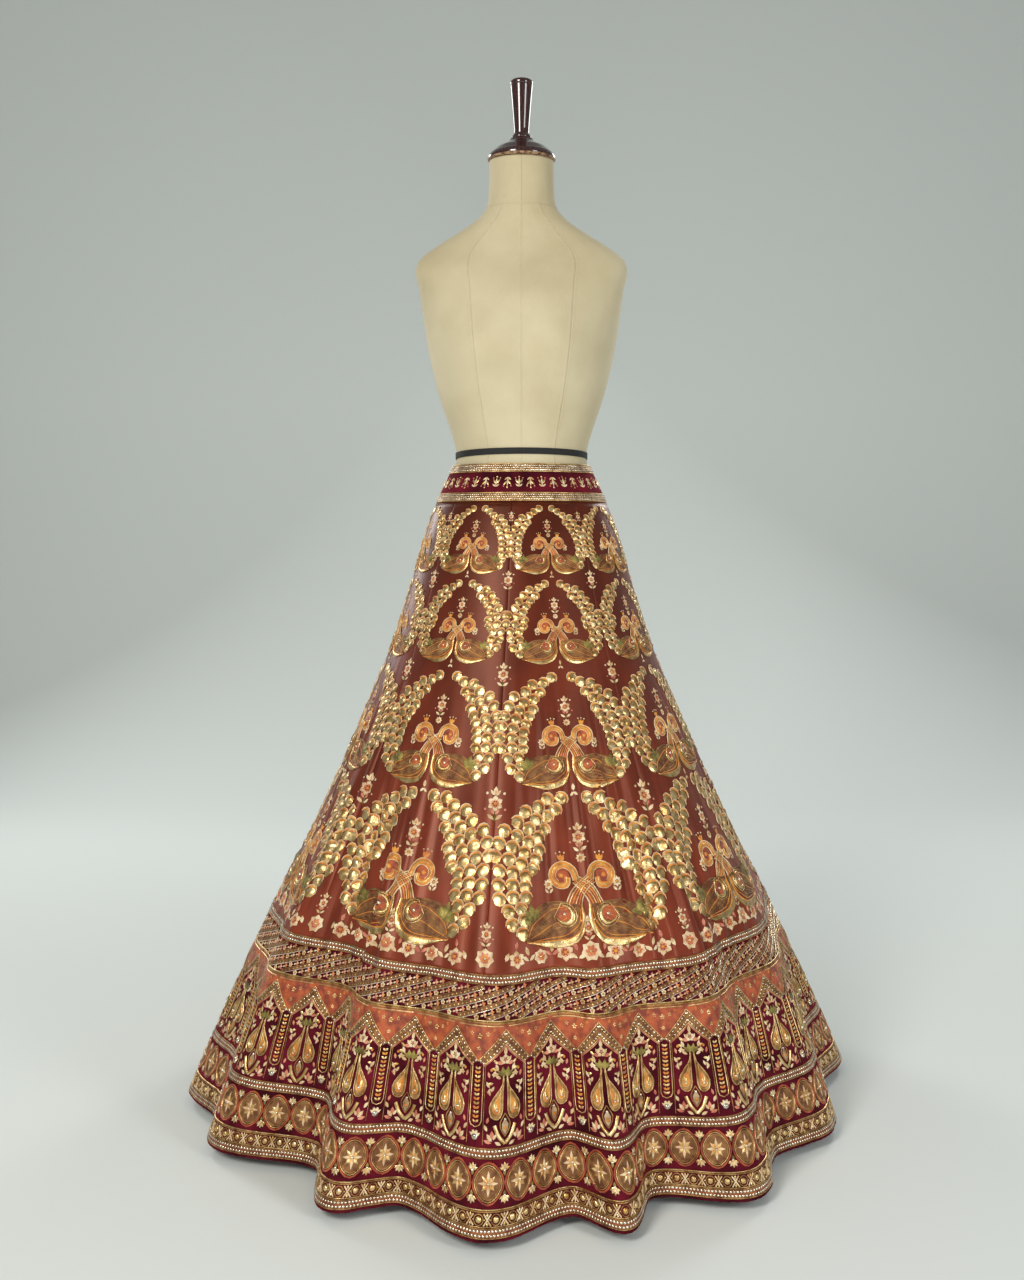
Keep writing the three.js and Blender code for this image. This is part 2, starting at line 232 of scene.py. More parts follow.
jersey, tree, shader = principled("cream_jersey", Roughness=0.82, Sheen_Weight=0.15,
                                  Specular_IOR_Level=0.3)
links = tree.links
place = add_node(tree, "TexCoord")
worn = add_node(tree, "TexNoise", Scale=5, Detail=6)
tone = two_colours(tree, (0.50, 0.42, 0.25, 1), (0.64, 0.56, 0.37, 1), 0.36, 0.62)
knit = add_node(tree, "TexVoronoi", Scale=650)
knit_bump = add_node(tree, "Bump", Strength=0.35, Distance=0.0006)
links.new(place.outputs["Object"], worn.inputs["Vector"])
links.new(place.outputs["Object"], knit.inputs["Vector"])
links.new(worn.outputs["Fac"], tone.inputs["Fac"])
links.new(tone.outputs["Color"], shader.inputs["Base Color"])
links.new(knit.outputs["Distance"], knit_bump.inputs["Height"])
links.new(knit_bump.outputs["Normal"], shader.inputs["Normal"])
torso = add_mesh("torso_cover", form_points, form_faces, jersey)
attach(torso, "root")
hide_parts("form_torso")


# Skirt body: eight gores of heavy silk satin, cut wide at the border and narrow at the waist,
# and seamed together. The flare falls in deep folds with small soft gathers between them.

# height, half the mean width, half the mean depth
SKIRT_SECTIONS = (
    (1.031, 0.112, 0.090), (0.970, 0.140, 0.119), (0.904, 0.163, 0.146), (0.807, 0.191, 0.182),
    (0.720, 0.221, 0.217), (0.585, 0.277, 0.275), (0.470, 0.328, 0.325), (0.312, 0.403, 0.402),
    (0.117, 0.477, 0.475), (0.018, 0.510, 0.508),
)
# crest angle, crest's reach, next valley's angle, valley's depth, height where the fold begins
FOLDS = (
    (-83, 0.032, -69, 0.006, 0.420), (-60, 0.024, -41, 0.056, 0.640),
    (-29, 0.028, -20, 0.027, 0.300), (-5, 0.043, 8, 0.024, 0.760),
    (14.5, 0.034, 23, 0.044, 0.360), (37, 0.028, 51, 0.032, 0.520),
    (66, 0.008, 84, 0.020, 0.400), (100, 0.048, 116, 0.016, 0.460),
    (131, 0.034, 143, 0.030, 0.500), (155, 0.026, 166, 0.038, 0.330),
    (178, 0.040, 190, 0.026, 0.700), (203, 0.030, 214, 0.042, 0.380),
    (226, 0.038, 238, 0.024, 0.560), (251, 0.022, 263, 0.034, 0.420),
)
FOLD_GROWTH = 1.2
GORES = 8
FRONT_SEAM_ANGLE = -7
WAIST_HEIGHT, BAND_FOOT, BORDER_TOP, HEM_HEIGHT = 1.031, 0.970, 0.312, 0.018
SEAM_GAP = 0.0003
SATIN_WALL = 0.0018


def fold_reach(angles, height):
    """How far the folds push the cloth out from the mean section at one height."""
    turns = [t for crest, out, valley, dip, top in FOLDS
             for t in ((crest, out, top), (valley, -dip, top))]
    turned = turns[0][0] + (angles - turns[0][0]) % 360
    corners = np.array([t[0] for t in turns] + [turns[0][0] + 360])
    grown = np.array([reach * (max(top - height, 0) / (top - HEM_HEIGHT)) ** FOLD_GROWTH
                      for _, reach, top in turns + turns[:1]])
    i = np.clip(np.searchsorted(corners, turned, side="right") - 1, 0, len(turns) - 1)
    share = (1 - np.cos(np.pi * (turned - corners[i]) / (corners[i + 1] - corners[i]))) / 2
    return grown[i] * (1 - share) + grown[i + 1] * share


def gathers(along, height):
    """Small soft gathers of the satin, deepest above the border and gone at the waist."""
    flare = np.clip((0.74 - height) / 0.28, 0, 1) ** 1.4
    velvet = np.clip((0.325 - height) / 0.05, 0, 1)
    depth = 0.0031 * flare * (1 - 0.78 * velvet)
    turn = 2 * np.pi * along
    sway = 0.5 * np.sin(3 * turn + 4 * height) + 0.35 * np.sin(7 * turn + 1.7)
    fine = np.sin(62 * turn + 2.2 * sway + 3 * height)
    fine = fine + 0.6 * np.sin(91 * turn - 3.1 * sway + 0.8)
    swell = 0.55 + 0.45 * np.sin(5 * turn + 2.1 + 6 * height)
    return depth * fine * swell


SURFACE_ROWS, SURFACE_COLUMNS = 360, 2400
surface_heights = np.linspace(0.012, WAIST_HEIGHT + 0.003, SURFACE_ROWS)
ring_angles = FRONT_SEAM_ANGLE + np.linspace(0, 360, 2881)
shares = np.linspace(0, 1, SURFACE_COLUMNS + 1)
skirt_points = np.zeros((SURFACE_ROWS, SURFACE_COLUMNS + 1, 3))
ring_lengths = np.zeros(SURFACE_ROWS)
for row, height in enumerate(surface_heights):
    sine, cosine = np.sin(np.radians(ring_angles)), np.cos(np.radians(ring_angles))
    half_width = smooth_column(SKIRT_SECTIONS, 1, height)
    half_depth = smooth_column(SKIRT_SECTIONS, 2, height)
    radius = 1 / np.hypot(sine / half_width, cosine / half_depth)
    radius = radius + fold_reach(ring_angles, height)
    x, y = radius * sine, -radius * cosine
    along = np.concatenate(([0], np.cumsum(np.hypot(np.diff(x), np.diff(y)))))
    ring_lengths[row] = along[-1]
    skirt_points[row, :, 0] = np.interp(shares, along / along[-1], x)
    skirt_points[row, :, 1] = np.interp(shares, along / along[-1], y)
    skirt_points[row, :, 2] = height


def surface_normals(points):
    around = np.roll(points[:, :-1], -1, axis=1) - np.roll(points[:, :-1], 1, axis=1)
    around = np.concatenate((around, around[:, :1]), axis=1)
    upward = np.gradient(points, axis=0)
    normal = np.cross(around, upward)
    return normal / np.linalg.norm(normal, axis=-1, keepdims=True)


ripple = gathers(shares[None, :], surface_heights[:, None])
skirt_points = skirt_points + ripple[..., None] * surface_normals(skirt_points)
skirt_normals = surface_normals(skirt_points)


def on_skirt(share, height, lift):
    """Points at a share of the way round, a height, and a distance out from the cloth's face."""
    share, height, lift = np.broadcast_arrays(share, height, lift)
    step = surface_heights[1] - surface_heights[0]
    row = np.clip((height - surface_heights[0]) / step, 0, SURFACE_ROWS - 1.001)
    column = (share % 1.0) * SURFACE_COLUMNS
    r, c = row.astype(int), np.minimum(column.astype(int), SURFACE_COLUMNS - 1)
    a, b = (row - r)[..., None], (column - c)[..., None]

    def read(grid):
        low = grid[r, c] * (1 - b) + grid[r, c + 1] * b
        high = grid[r + 1, c] * (1 - b) + grid[r + 1, c + 1] * b
        return low * (1 - a) + high * a

    return read(skirt_points) + read(skirt_normals) * lift[..., None]


def length_round(height):
    """The cloth's length round the skirt at a height."""
    return np.interp(height, surface_heights, ring_lengths)


def slant_between(low, high):
    """The cloth's length down the slope between two heights, on the mean section."""
    heights = np.linspace(low, high, 60)
    reach = smooth_column(SKIRT_SECTIONS, 2, heights)
    return float(np.sum(np.hypot(np.diff(heights), np.diff(reach))))


def cloth_panel(name, gore, foot, top, rows, columns, wall, material):
    """One panel between two seams, a closed thin wall whose seam edges turn in a little."""
    heights = np.linspace(foot, top, rows)
    widths = length_round(heights) / GORES
    edge = np.array([0, 0.004, 0.012])
    across = np.concatenate((edge, np.linspace(0.03, 0.97, columns - 6), 1 - edge[::-1]))
    turn_in = np.interp(across, (0, 0.006, 0.994, 1), (-0.0007, 0, 0, -0.0007))
    inside = (SEAM_GAP / 2 + across[None, :] * (widths[:, None] - SEAM_GAP)) / widths[:, None]
    share = (gore + inside) / GORES
    outer = on_skirt(share, heights[:, None], turn_in[None, :])
    inner = on_skirt(share, heights[:, None], turn_in[None, :] * 0.3 - wall)
    points = np.concatenate((outer.reshape(-1, 3), inner.reshape(-1, 3)))
    columns = len(across)
    count = rows * columns
    faces = [tuple(f) for f in grid_faces(rows, columns)]
    faces += [tuple(f) for f in grid_faces(rows, columns, flip=True) + count]
    border = ([(0, c) for c in range(columns)] + [(r, columns - 1) for r in range(1, rows)]
              + [(rows - 1, c) for c in range(columns - 2, -1, -1)]
              + [(r, 0) for r in range(rows - 2, 0, -1)])
    rim = [r * columns + c for r, c in border]
    for here, onward in zip(rim, rim[1:] + rim[:1]):
        faces.append((here, here + count, onward + count, onward))
    return add_mesh(name, points, faces, material)


# The satin has a fine dense weave. Its colour is darker towards the waist, and painted light and shade
# run down it in vertical streaks, for the sheen and shadows of its gathers.
satin, tree, shader = principled("rust_satin", Roughness=0.36, Sheen_Weight=0.12,
                                 Sheen_Roughness=0.35, Specular_IOR_Level=0.5)
shader.inputs["Sheen Tint"].default_value = (1.0, 0.42, 0.28, 1)
shader.inputs["Specular Tint"].default_value = (1.0, 0.52, 0.38, 1)
links = tree.links
place = add_node(tree, "TexCoord")
spread = add_node(tree, "SeparateXYZ")
depth = add_node(tree, "MapRange", From_Min=0.30, From_Max=0.95)
shade = two_colours(tree, (0.215, 0.036, 0.016, 1), (0.080, 0.012, 0.005, 1))
# Painted light and shade: a noise stretched down the cloth darkens and brightens the colour in vertical
# streaks, some brighter than white, for the gathers' sheen and shadows.
painted_streaks = add_node(tree, "TexNoise", Scale=1, Detail=3)
stretch = add_node(tree, "Mapping", Scale=(26, 26, 2.2))
painted_streak_mix = add_node(tree, "Mix", Factor=0.55)
painted_streak_mix.data_type = "RGBA"
painted_streak_mix.blend_type = "MULTIPLY"
pale = two_colours(tree, (0.55, 0.50, 0.50, 1), (1.3, 1.3, 1.3, 1), 0.38, 0.64)
weave = add_node(tree, "TexNoise", Scale=900, Detail=2)
weave_bump = add_node(tree, "Bump", Strength=0.18, Distance=0.0004)
links.new(place.outputs["Object"], spread.inputs["Vector"])
links.new(spread.outputs["Z"], depth.inputs["Value"])
links.new(depth.outputs["Result"], shade.inputs["Fac"])
links.new(place.outputs["Object"], stretch.inputs["Vector"])
links.new(stretch.outputs["Vector"], painted_streaks.inputs["Vector"])
links.new(painted_streaks.outputs["Fac"], pale.inputs["Fac"])
links.new(shade.outputs["Color"], painted_streak_mix.inputs["A"])
links.new(pale.outputs["Color"], painted_streak_mix.inputs["B"])
links.new(painted_streak_mix.outputs["Result"], shader.inputs["Base Color"])
links.new(place.outputs["Object"], weave.inputs["Vector"])
links.new(weave.outputs["Fac"], weave_bump.inputs["Height"])
links.new(weave_bump.outputs["Normal"], shader.inputs["Normal"])

gore_top, gore_foot = BAND_FOOT - SEAM_GAP / 2, BORDER_TOP + SEAM_GAP / 2
for gore in range(GORES):
    panel = cloth_panel(f"satin_gore_{gore + 1}", gore, gore_foot, gore_top, 74, 52,
                        SATIN_WALL, satin)
    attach(panel, "root")
    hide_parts(f"gore_{gore + 1}")


# Border: eight lengths of maroon velvet, one sewn under each gore and seamed to the next.
# The close work on them stiffens the cloth, so the gathers of the satin die out here.

velvet, tree, shader = principled("maroon_velvet", Roughness=0.9, Sheen_Weight=0.35,
                                  Sheen_Roughness=0.4, Specular_IOR_Level=0.12)
shader.inputs["Sheen Tint"].default_value = (0.75, 0.08, 0.12, 1)
links = tree.links
place = add_node(tree, "TexCoord")
pile = add_node(tree, "TexNoise", Scale=700, Detail=2)
brushed = add_node(tree, "TexNoise", Scale=22, Detail=5)
nap = two_colours(tree, (0.036, 0.002, 0.005, 1), (0.150, 0.008, 0.020, 1), 0.35, 0.68)
pile_bump = add_node(tree, "Bump", Strength=0.3, Distance=0.0006)
links.new(place.outputs["Object"], pile.inputs["Vector"])
links.new(place.outputs["Object"], brushed.inputs["Vector"])
links.new(brushed.outputs["Fac"], nap.inputs["Fac"])
links.new(nap.outputs["Color"], shader.inputs["Base Color"])
links.new(pile.outputs["Fac"], pile_bump.inputs["Height"])
links.new(pile_bump.outputs["Normal"], shader.inputs["Normal"])

border_top = BORDER_TOP - SEAM_GAP / 2
for gore in range(GORES):
    panel = cloth_panel(f"velvet_border_{gore + 1}", gore, HEM_HEIGHT, border_top, 38, 72,
                        SATIN_WALL, velvet)
    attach(panel, "root")
    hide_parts(f"border_{gore + 1}")


# Waistband: one straight strip of the same velvet, closed into a ring and sewn on top of the
# gores. It is a little crowned and sits snug on the form.

BAND_WALL = 0.0019


def closed_wall(name, outer, inner, material):
    """A ring of cloth from its outer and inner faces, joined by rims at foot and top."""
    rows, columns = outer.shape[:2]
    count = rows * columns
    top = count - columns
    points = np.concatenate((outer.reshape(-1, 3), inner.reshape(-1, 3)))
    faces = [tuple(f) for f in grid_faces(rows, columns, closed=True)]
    faces += [tuple(f + count) for f in grid_faces(rows, columns, closed=True, flip=True)]
    for i in range(columns):
        onward = (i + 1) % columns
        faces.append((i, i + count, onward + count, onward))
        faces.append((top + i, top + onward, top + onward + count, top + i + count))
    return add_mesh(name, points, faces, material)


band_rows, band_columns = 12, 256
band_heights = np.linspace(BAND_FOOT + SEAM_GAP / 2, WAIST_HEIGHT, band_rows)
band_shares = np.arange(band_columns) / band_columns
band_crown = 0.0004 * np.sin(np.pi * np.linspace(0, 1, band_rows))
band_outer = on_skirt(band_shares[None, :], band_heights[:, None], band_crown[:, None])
band_inner = on_skirt(band_shares[None, :], band_heights[:, None], -BAND_WALL)
waistband = closed_wall("velvet_waistband", band_outer, band_inner, velvet)
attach(waistband, "root")
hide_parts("waistband")


# Embroidery: worked by hand on the flat panels before they are sewn together. Gold foil
# sequins, metal thread, silk thread and beads stand a little proud of the cloth.

class Work:
    """Raised stitching drawn flat. Points are across, up and out from the cloth, in metres."""

    def __init__(self):
        self.points, self.faces, self.size = {}, {}, {}

    def add(self, thread, points, faces):
        start = self.size.get(thread, 0)
        self.points.setdefault(thread, []).append(np.asarray(points, float))
        self.faces.setdefault(thread, []).append(np.asarray(faces, int) + start)
        self.size[thread] = start + len(points)

    def grid(self, thread, points):
        """A strip or field from rows of points."""
        rows, columns = points.shape[:2]
        quads = grid_faces(rows, columns)
        self.add(thread, points.reshape(-1, 3), np.vstack((quads[:, :3], quads[:, [0, 2, 3]])))

    def paste(self, other, x=0.0, y=0.0, turn=0.0, scale=1.0, mirror=False):
        """Adds a copy of another drawing, turned anticlockwise in degrees and moved."""
        cosine, sine = math.cos(math.radians(turn)), math.sin(math.radians(turn))
        for thread in other.points:
            points = np.vstack(other.points[thread]) * scale
            faces = np.vstack(other.faces[thread])
            if mirror:
                points[:, 0] *= -1
                faces = faces[:, ::-1]
            turned = points.copy()
            turned[:, 0] = points[:, 0] * cosine - points[:, 1] * sine + x
            turned[:, 1] = points[:, 0] * sine + points[:, 1] * cosine + y
            self.add(thread, turned, faces)
        return self

    def both_sides(self):
        """The drawing and its mirror image together."""
        pair = Work()
        return pair.paste(self).paste(self, mirror=True)

    def petal(self, thread, x, y, turn, length, width, rise=0.0012):
        """A pointed leaf shape from its root, ridged along its middle. Turn 0 points up."""
        outline = [(0, 0), (0.42, 0.28), (0.5, 0.6), (0, 1), (-0.5, 0.6), (-0.42, 0.28)]
        flat = np.array([(a * width, b * length, 0.0003) for a, b in outline]
                        + [(0, 0.52 * length, rise)])
        cosine, sine = math.cos(math.radians(turn)), math.sin(math.radians(turn))
        points = np.stack((flat[:, 0] * cosine - flat[:, 1] * sine + x,
                           flat[:, 0] * sine + flat[:, 1] * cosine + y, flat[:, 2]), axis=-1)
        self.add(thread, points, [(i, (i + 1) % 6, 6) for i in range(6)])

    def dome(self, thread, x, y, radius, rise, sides=8, tall=1.0, lean=(0.0, 0.0)):
        """A round sequin or bead. Lean tips its face so that each one catches light its own way."""
        a = np.arange(sides) * 2 * np.pi / sides
        ring = np.stack((np.cos(a), tall * np.sin(a)), axis=-1) * radius
        if radius < 0.0022:
            flat = np.column_stack((ring, np.full(sides, 0.0002)))
            points = np.vstack((flat, [(0, 0, rise)])) + (x, y, 0)
            self.add(thread, points, [(i, (i + 1) % sides, sides) for i in range(sides)])
            return
        flat = np.vstack((ring, ring * 0.74, [(0, 0)]))
        out = np.array([0.0002] * sides + [rise * 0.86] * sides + [rise])
        out[sides:] += flat[sides:, 0] * lean[0] + flat[sides:, 1] * lean[1]
        faces = []
        for i in range(sides):
            j = (i + 1) % sides
            faces += [(i, j, sides + j), (i, sides + j, sides + i), (sides + i, sides + j, 2 * sides)]
        self.add(thread, np.column_stack((flat + (x, y), out)), faces)

    def cord(self, thread, path, width, rise, closed=False, base=0.0002):
        """A line of thread laid along a path and couched down."""
        path = np.asarray(path, float)
        if closed:
            ahead, behind = np.roll(path, -1, axis=0), np.roll(path, 1, axis=0)
            along = ahead - behind
        else:
            along = np.gradient(path, axis=0)
        along /= np.maximum(np.linalg.norm(along, axis=1, keepdims=True), 1e-9)
        side = np.stack((along[:, 1], -along[:, 0]), axis=-1)
        share = np.array((-1, -0.5, 0.5, 1))
        out = np.array((base, base + rise * 0.85, base + rise * 0.85, base))
        strip = path[:, None, :] + side[:, None, :] * (share * width / 2)[None, :, None]
        points = np.concatenate((strip, np.broadcast_to(out[None, :, None],
                                                        strip.shape[:2] + (1,))), axis=-1)
        if closed:
            points = np.concatenate((points, points[:1]))
        self.grid(thread, points[:, ::-1])

    def field(self, thread, first, second, rise, across=4, base=0.0003):
        """Filled stitching between two paths, domed across from one to the other."""
        t = np.linspace(0, 1, across + 1)[None, :, None]
        flat = first[:, None, :] * (1 - t) + second[:, None, :] * t
        out = base + rise * np.sin(np.pi * t) * np.ones(flat.shape[:2] + (1,))
        self.grid(thread, np.concatenate((flat, out), axis=-1))


def curve(corners, count=24):
    """A smooth path through a few points, evenly stepped between them."""
    corners = np.array(corners, float)
    padded = np.vstack((2 * corners[0] - corners[1], corners, 2 * corners[-1] - corners[-2]))
    t = np.linspace(0, len(corners) - 1, count)
    i = np.minimum(t.astype(int), len(corners) - 2)
    f = (t - i)[:, None]
    a, b, c, d = (padded[i + k] for k in range(4))
    return 0.5 * (2 * b + (c - a) * f + (2 * a - 5 * b + 4 * c - d) * f ** 2
                  + (3 * b - a - 3 * c + d) * f ** 3)


def beside(path, distance):
    """A path alongside another, to its right."""
    along = np.gradient(path, axis=0)
    along /= np.maximum(np.linalg.norm(along, axis=1, keepdims=True), 1e-9)
    return path + np.stack((along[:, 1], -along[:, 0]), axis=-1) * distance


def thread_finish(name, dark, light, metal, rough, grain, relief, sheen=0.0):
    """A thread, foil or bead finish: two close colours in patches, and a fine stitched relief."""
    material, tree, shader = principled(name, Metallic=metal, Roughness=rough,
                                        Sheen_Weight=sheen)
    links = tree.links
    place = add_node(tree, "TexCoord")
    patch = add_node(tree, "TexNoise", Scale=85, Detail=3)
    mix = two_colours(tree, (*dark, 1), (*light, 1), 0.36, 0.62)
    stitch = add_node(tree, "TexNoise", Scale=grain, Detail=2)
    bump = add_node(tree, "Bump", Strength=relief, Distance=0.0008)
    links.new(place.outputs["Object"], patch.inputs["Vector"])
    links.new(place.outputs["Object"], stitch.inputs["Vector"])
    links.new(patch.outputs["Fac"], mix.inputs["Fac"])
    links.new(mix.outputs["Color"], shader.inputs["Base Color"])
    links.new(stitch.outputs["Fac"], bump.inputs["Height"])
    links.new(bump.outputs["Normal"], shader.inputs["Normal"])
    return material


THREADS = {
    "foil": ("gold_work", thread_finish("gold_foil", (0.50, 0.29, 0.09), (0.84, 0.63, 0.31),
                                        0.92, 0.31, 520, 0.5)),
    "zari": ("gold_work", thread_finish("antique_zari", (0.20, 0.085, 0.028), (0.50, 0.28, 0.10),
                                        0.75, 0.42, 900, 0.9)),
    "bronze": ("gold_work", thread_finish("bronze_thread", (0.14, 0.045, 0.016),
                                          (0.30, 0.13, 0.04), 0.35, 0.52, 900, 0.9)),
    "orange": ("silk_thread", thread_finish("orange_silk", (0.55, 0.15, 0.015),
                                            (0.78, 0.32, 0.03), 0.0, 0.5, 700, 0.6, 0.15)),
    "brick": ("silk_thread", thread_finish("brick_silk", (0.22, 0.028, 0.008),
                                           (0.50, 0.095, 0.018), 0.0, 0.55, 700, 0.7, 0.15)),
    "cream": ("silk_thread", thread_finish("cream_silk", (0.56, 0.33, 0.14), (0.86, 0.68, 0.42),
                                           0.0, 0.45, 700, 0.6, 0.15)),
    "rose": ("silk_thread", thread_finish("rose_silk", (0.45, 0.09, 0.05), (0.74, 0.30, 0.17),
                                          0.0, 0.5, 700, 0.6, 0.15)),
    "olive": ("silk_thread", thread_finish("olive_zari", (0.12, 0.085, 0.015),
                                           (0.34, 0.27, 0.06), 0.5, 0.42, 700, 0.8, 0.1)),
    "bead": ("beads", thread_finish("silver_bead", (0.66, 0.55, 0.38), (0.93, 0.88, 0.74),
                                    0.75, 0.20, 300, 0.2)),
}
stitched = {}


def lay(group, work, places, share_width=None):
    """Lays a drawing on the skirt at each place: share round, height, scale, mirrored or not.
    With share_width, one share of the way round is that many metres of drawing."""
    places = np.array(places, float)
    share0, height0, scale, mirror = places.T
    steep = np.gradient(smooth_column(SKIRT_SECTIONS, 2, surface_heights), surface_heights)
    fall = 1 / np.hypot(1, np.interp(height0, surface_heights, steep))
    for thread in work.points:
        points = np.vstack(work.points[thread])
        faces = np.vstack(work.faces[thread])
        side = np.where(mirror > 0, -1.0, 1.0)
        height = height0[:, None] + points[None, :, 1] * (scale * fall)[:, None]
        across = points[None, :, 0] * (scale * side)[:, None]
        wide = length_round(height) if share_width is None else share_width
        laid = on_skirt(share0[:, None] + across / wide, height,
                        points[None, :, 2] * np.sqrt(scale)[:, None] + 0.0002)
        stack = stitched.setdefault(group, {}).setdefault(thread, [])
        count = sum(len(p) for p, _ in stack)
        all_faces = []
        for n in range(len(places)):
            turned = faces[:, ::-1] if side[n] < 0 else faces
            all_faces.append(turned + count + n * len(points))
        stack.append((laid.reshape(-1, 3), np.vstack(all_faces)))


def lay_ring(group, thread, height, width, rise, columns=720, base=0.0003):
    """A line of thread or a flat braid laid right round the skirt."""
    shares = np.linspace(0, 1, columns + 1)
    across = np.array((-1, -0.6, 0, 0.6, 1)) * width / 2
    out = base + rise * np.array((0, 0.8, 1, 0.8, 0))
    points = on_skirt(shares[None, :], height + across[:, None] * 0.93, out[:, None])
    quads = grid_faces(5, columns + 1)
    stack = stitched.setdefault(group, {}).setdefault(thread, [])
    count = sum(len(p) for p, _ in stack)
    faces = np.vstack((quads[:, :3], quads[:, [0, 2, 3]])) + count
    stack.append((points.reshape(-1, 3), faces))


def fasten(group):
    """Makes one joined mesh of each thread of a group, riding with the skirt."""
    for thread, stack in stitched[group].items():
        slot_name, material = THREADS[thread]
        mesh = bpy.data.meshes.new(f"{group}_{thread}")
        points = np.vstack([p for p, _ in stack])
        faces = np.vstack([f for _, f in stack])
        mesh.vertices.add(len(points))
        mesh.vertices.foreach_set("co", points.ravel())
        mesh.loops.add(faces.size)
        mesh.loops.foreach_set("vertex_index", faces.ravel())
        mesh.polygons.add(len(faces))
        mesh.polygons.foreach_set("loop_start", np.arange(len(faces)) * 3)
        mesh.polygons.foreach_set("loop_total", np.full(len(faces), 3))
        mesh.update(calc_edges=True)
        mesh.polygons.foreach_set("use_smooth", [True] * len(faces))
        mesh.materials.append(material)
        piece = bpy.data.objects.new(mesh.name, mesh)
        bpy.context.collection.objects.link(piece)
        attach(piece, "root")


# Flowers and sprays: petals in cream and rose silk, each a raised leaf shape, round a small
# orange heart. Leaves go in pairs along a stem of couched thread.

PATTERN_SEED = 11
random = np.random.default_rng(PATTERN_SEED)


def flower(radius, petals, outer="cream", heart="orange", second=None):
    work = Work()
    for i in range(petals):
        turn = 360 * i / petals
        a = math.radians(turn + 90)
        start = radius * 0.24
        work.petal(outer, start * math.cos(a), start * math.sin(a), turn,
                   radius * 0.78, radius * 4.0 / petals, 0.0014)
        if second:
            work.petal(second, start * 0.9 * math.cos(a), start * 0.9 * math.sin(a), turn,
                       radius * 0.42, radius * 2.2 / petals, 0.0019)
    work.dome(heart, 0, 0, radius * 0.24, 0.0022, sides=6)
    return work


def leaf_pair(length, spread=48, thread="cream"):
    work = Work()
    work.petal(thread, 0.0008, 0, -spread, length, length * 0.42)
    work.petal(thread, -0.0008, 0, spread, length, length * 0.42)
    return work


small_flower = flower(0.008, 8)
full_flower = flower(0.013, 6, "cream", "orange", "rose")
rose = Work()
for ring, (petals, reach, thread) in enumerate(((7, 0.013, "cream"), (6, 0.0092, "rose"),
                                                (5, 0.0056, "orange"))):
    for i in range(petals):
        turn = 360 * (i + 0.5 * ring) / petals
        a = math.radians(turn + 90)
        rose.petal(thread, 0.2 * reach * math.cos(a), 0.2 * reach * math.sin(a), turn,
                   reach * 0.8, reach * 0.78, 0.0014 + 0.0005 * ring)
rose.dome("bead", 0, 0, 0.0018, 0.0032, sides=6)

# A spray about 50 mm tall: a flower on a stem, leaves in pairs and a bud at the tip.
spray = Work()
spray.cord("olive", [(0, -0.022), (0.0005, -0.012), (0, 0.0)], 0.0012, 0.0008)
spray.paste(full_flower, 0, 0.002, scale=0.85)
spray.paste(leaf_pair(0.012, 55), 0, -0.020)
spray.paste(leaf_pair(0.009, 35, "rose"), 0, -0.013)
spray.paste(leaf_pair(0.010, 40), 0, 0.013)
spray.petal("cream", 0, 0.014, 0, 0.012, 0.006)
spray.petal("orange", 0, 0.015, 0, 0.007, 0.003, 0.002)
for side in (-1, 1):
    spray.dome("cream", side * 0.012, 0.016, 0.0021, 0.0016, sides=6)
    spray.dome("rose", side * 0.014, -0.006, 0.0019, 0.0016, sides=6)


# Peacocks: the main work of the satin, four tiers of mirrored pairs. Each bird has a foil
# crescent under a zari body, a curled wing, a striped neck that crosses its mate's, and a
# tail of round foil sequins, each under a crescent of orange silk and a cream rim.

def tail_scale(size):
    """One sequin of a tail, pointing up, as wide as its size."""
    work = Work()
    lean = random.uniform(-0.20, 0.20, 2)
    work.dome("foil", 0, -0.06 * size, 0.445 * size, 0.0014, sides=9, tall=0.95, lean=lean)
    a = np.radians(np.linspace(4, 176, 6))
    bow = np.stack((np.cos(a), np.sin(a)), axis=-1)
    low = bow * (0.45 * size, 0.37 * size) + (0, -0.03 * size)
    middle = bow * (0.49 * size, 0.52 * size) + (0, -0.03 * size)
    tip = bow * (0.55 * size, 0.61 * size) + (0, -0.03 * size)
    tip[:, 1] += np.maximum(0, 1 - np.abs(bow[:, 0]) * 3) * 0.10 * size
    work.field("orange", low, middle, 0.0, across=1, base=0.0011)
    work.field("cream", middle, tip, 0.0013, across=2, base=0.0007)
    return work


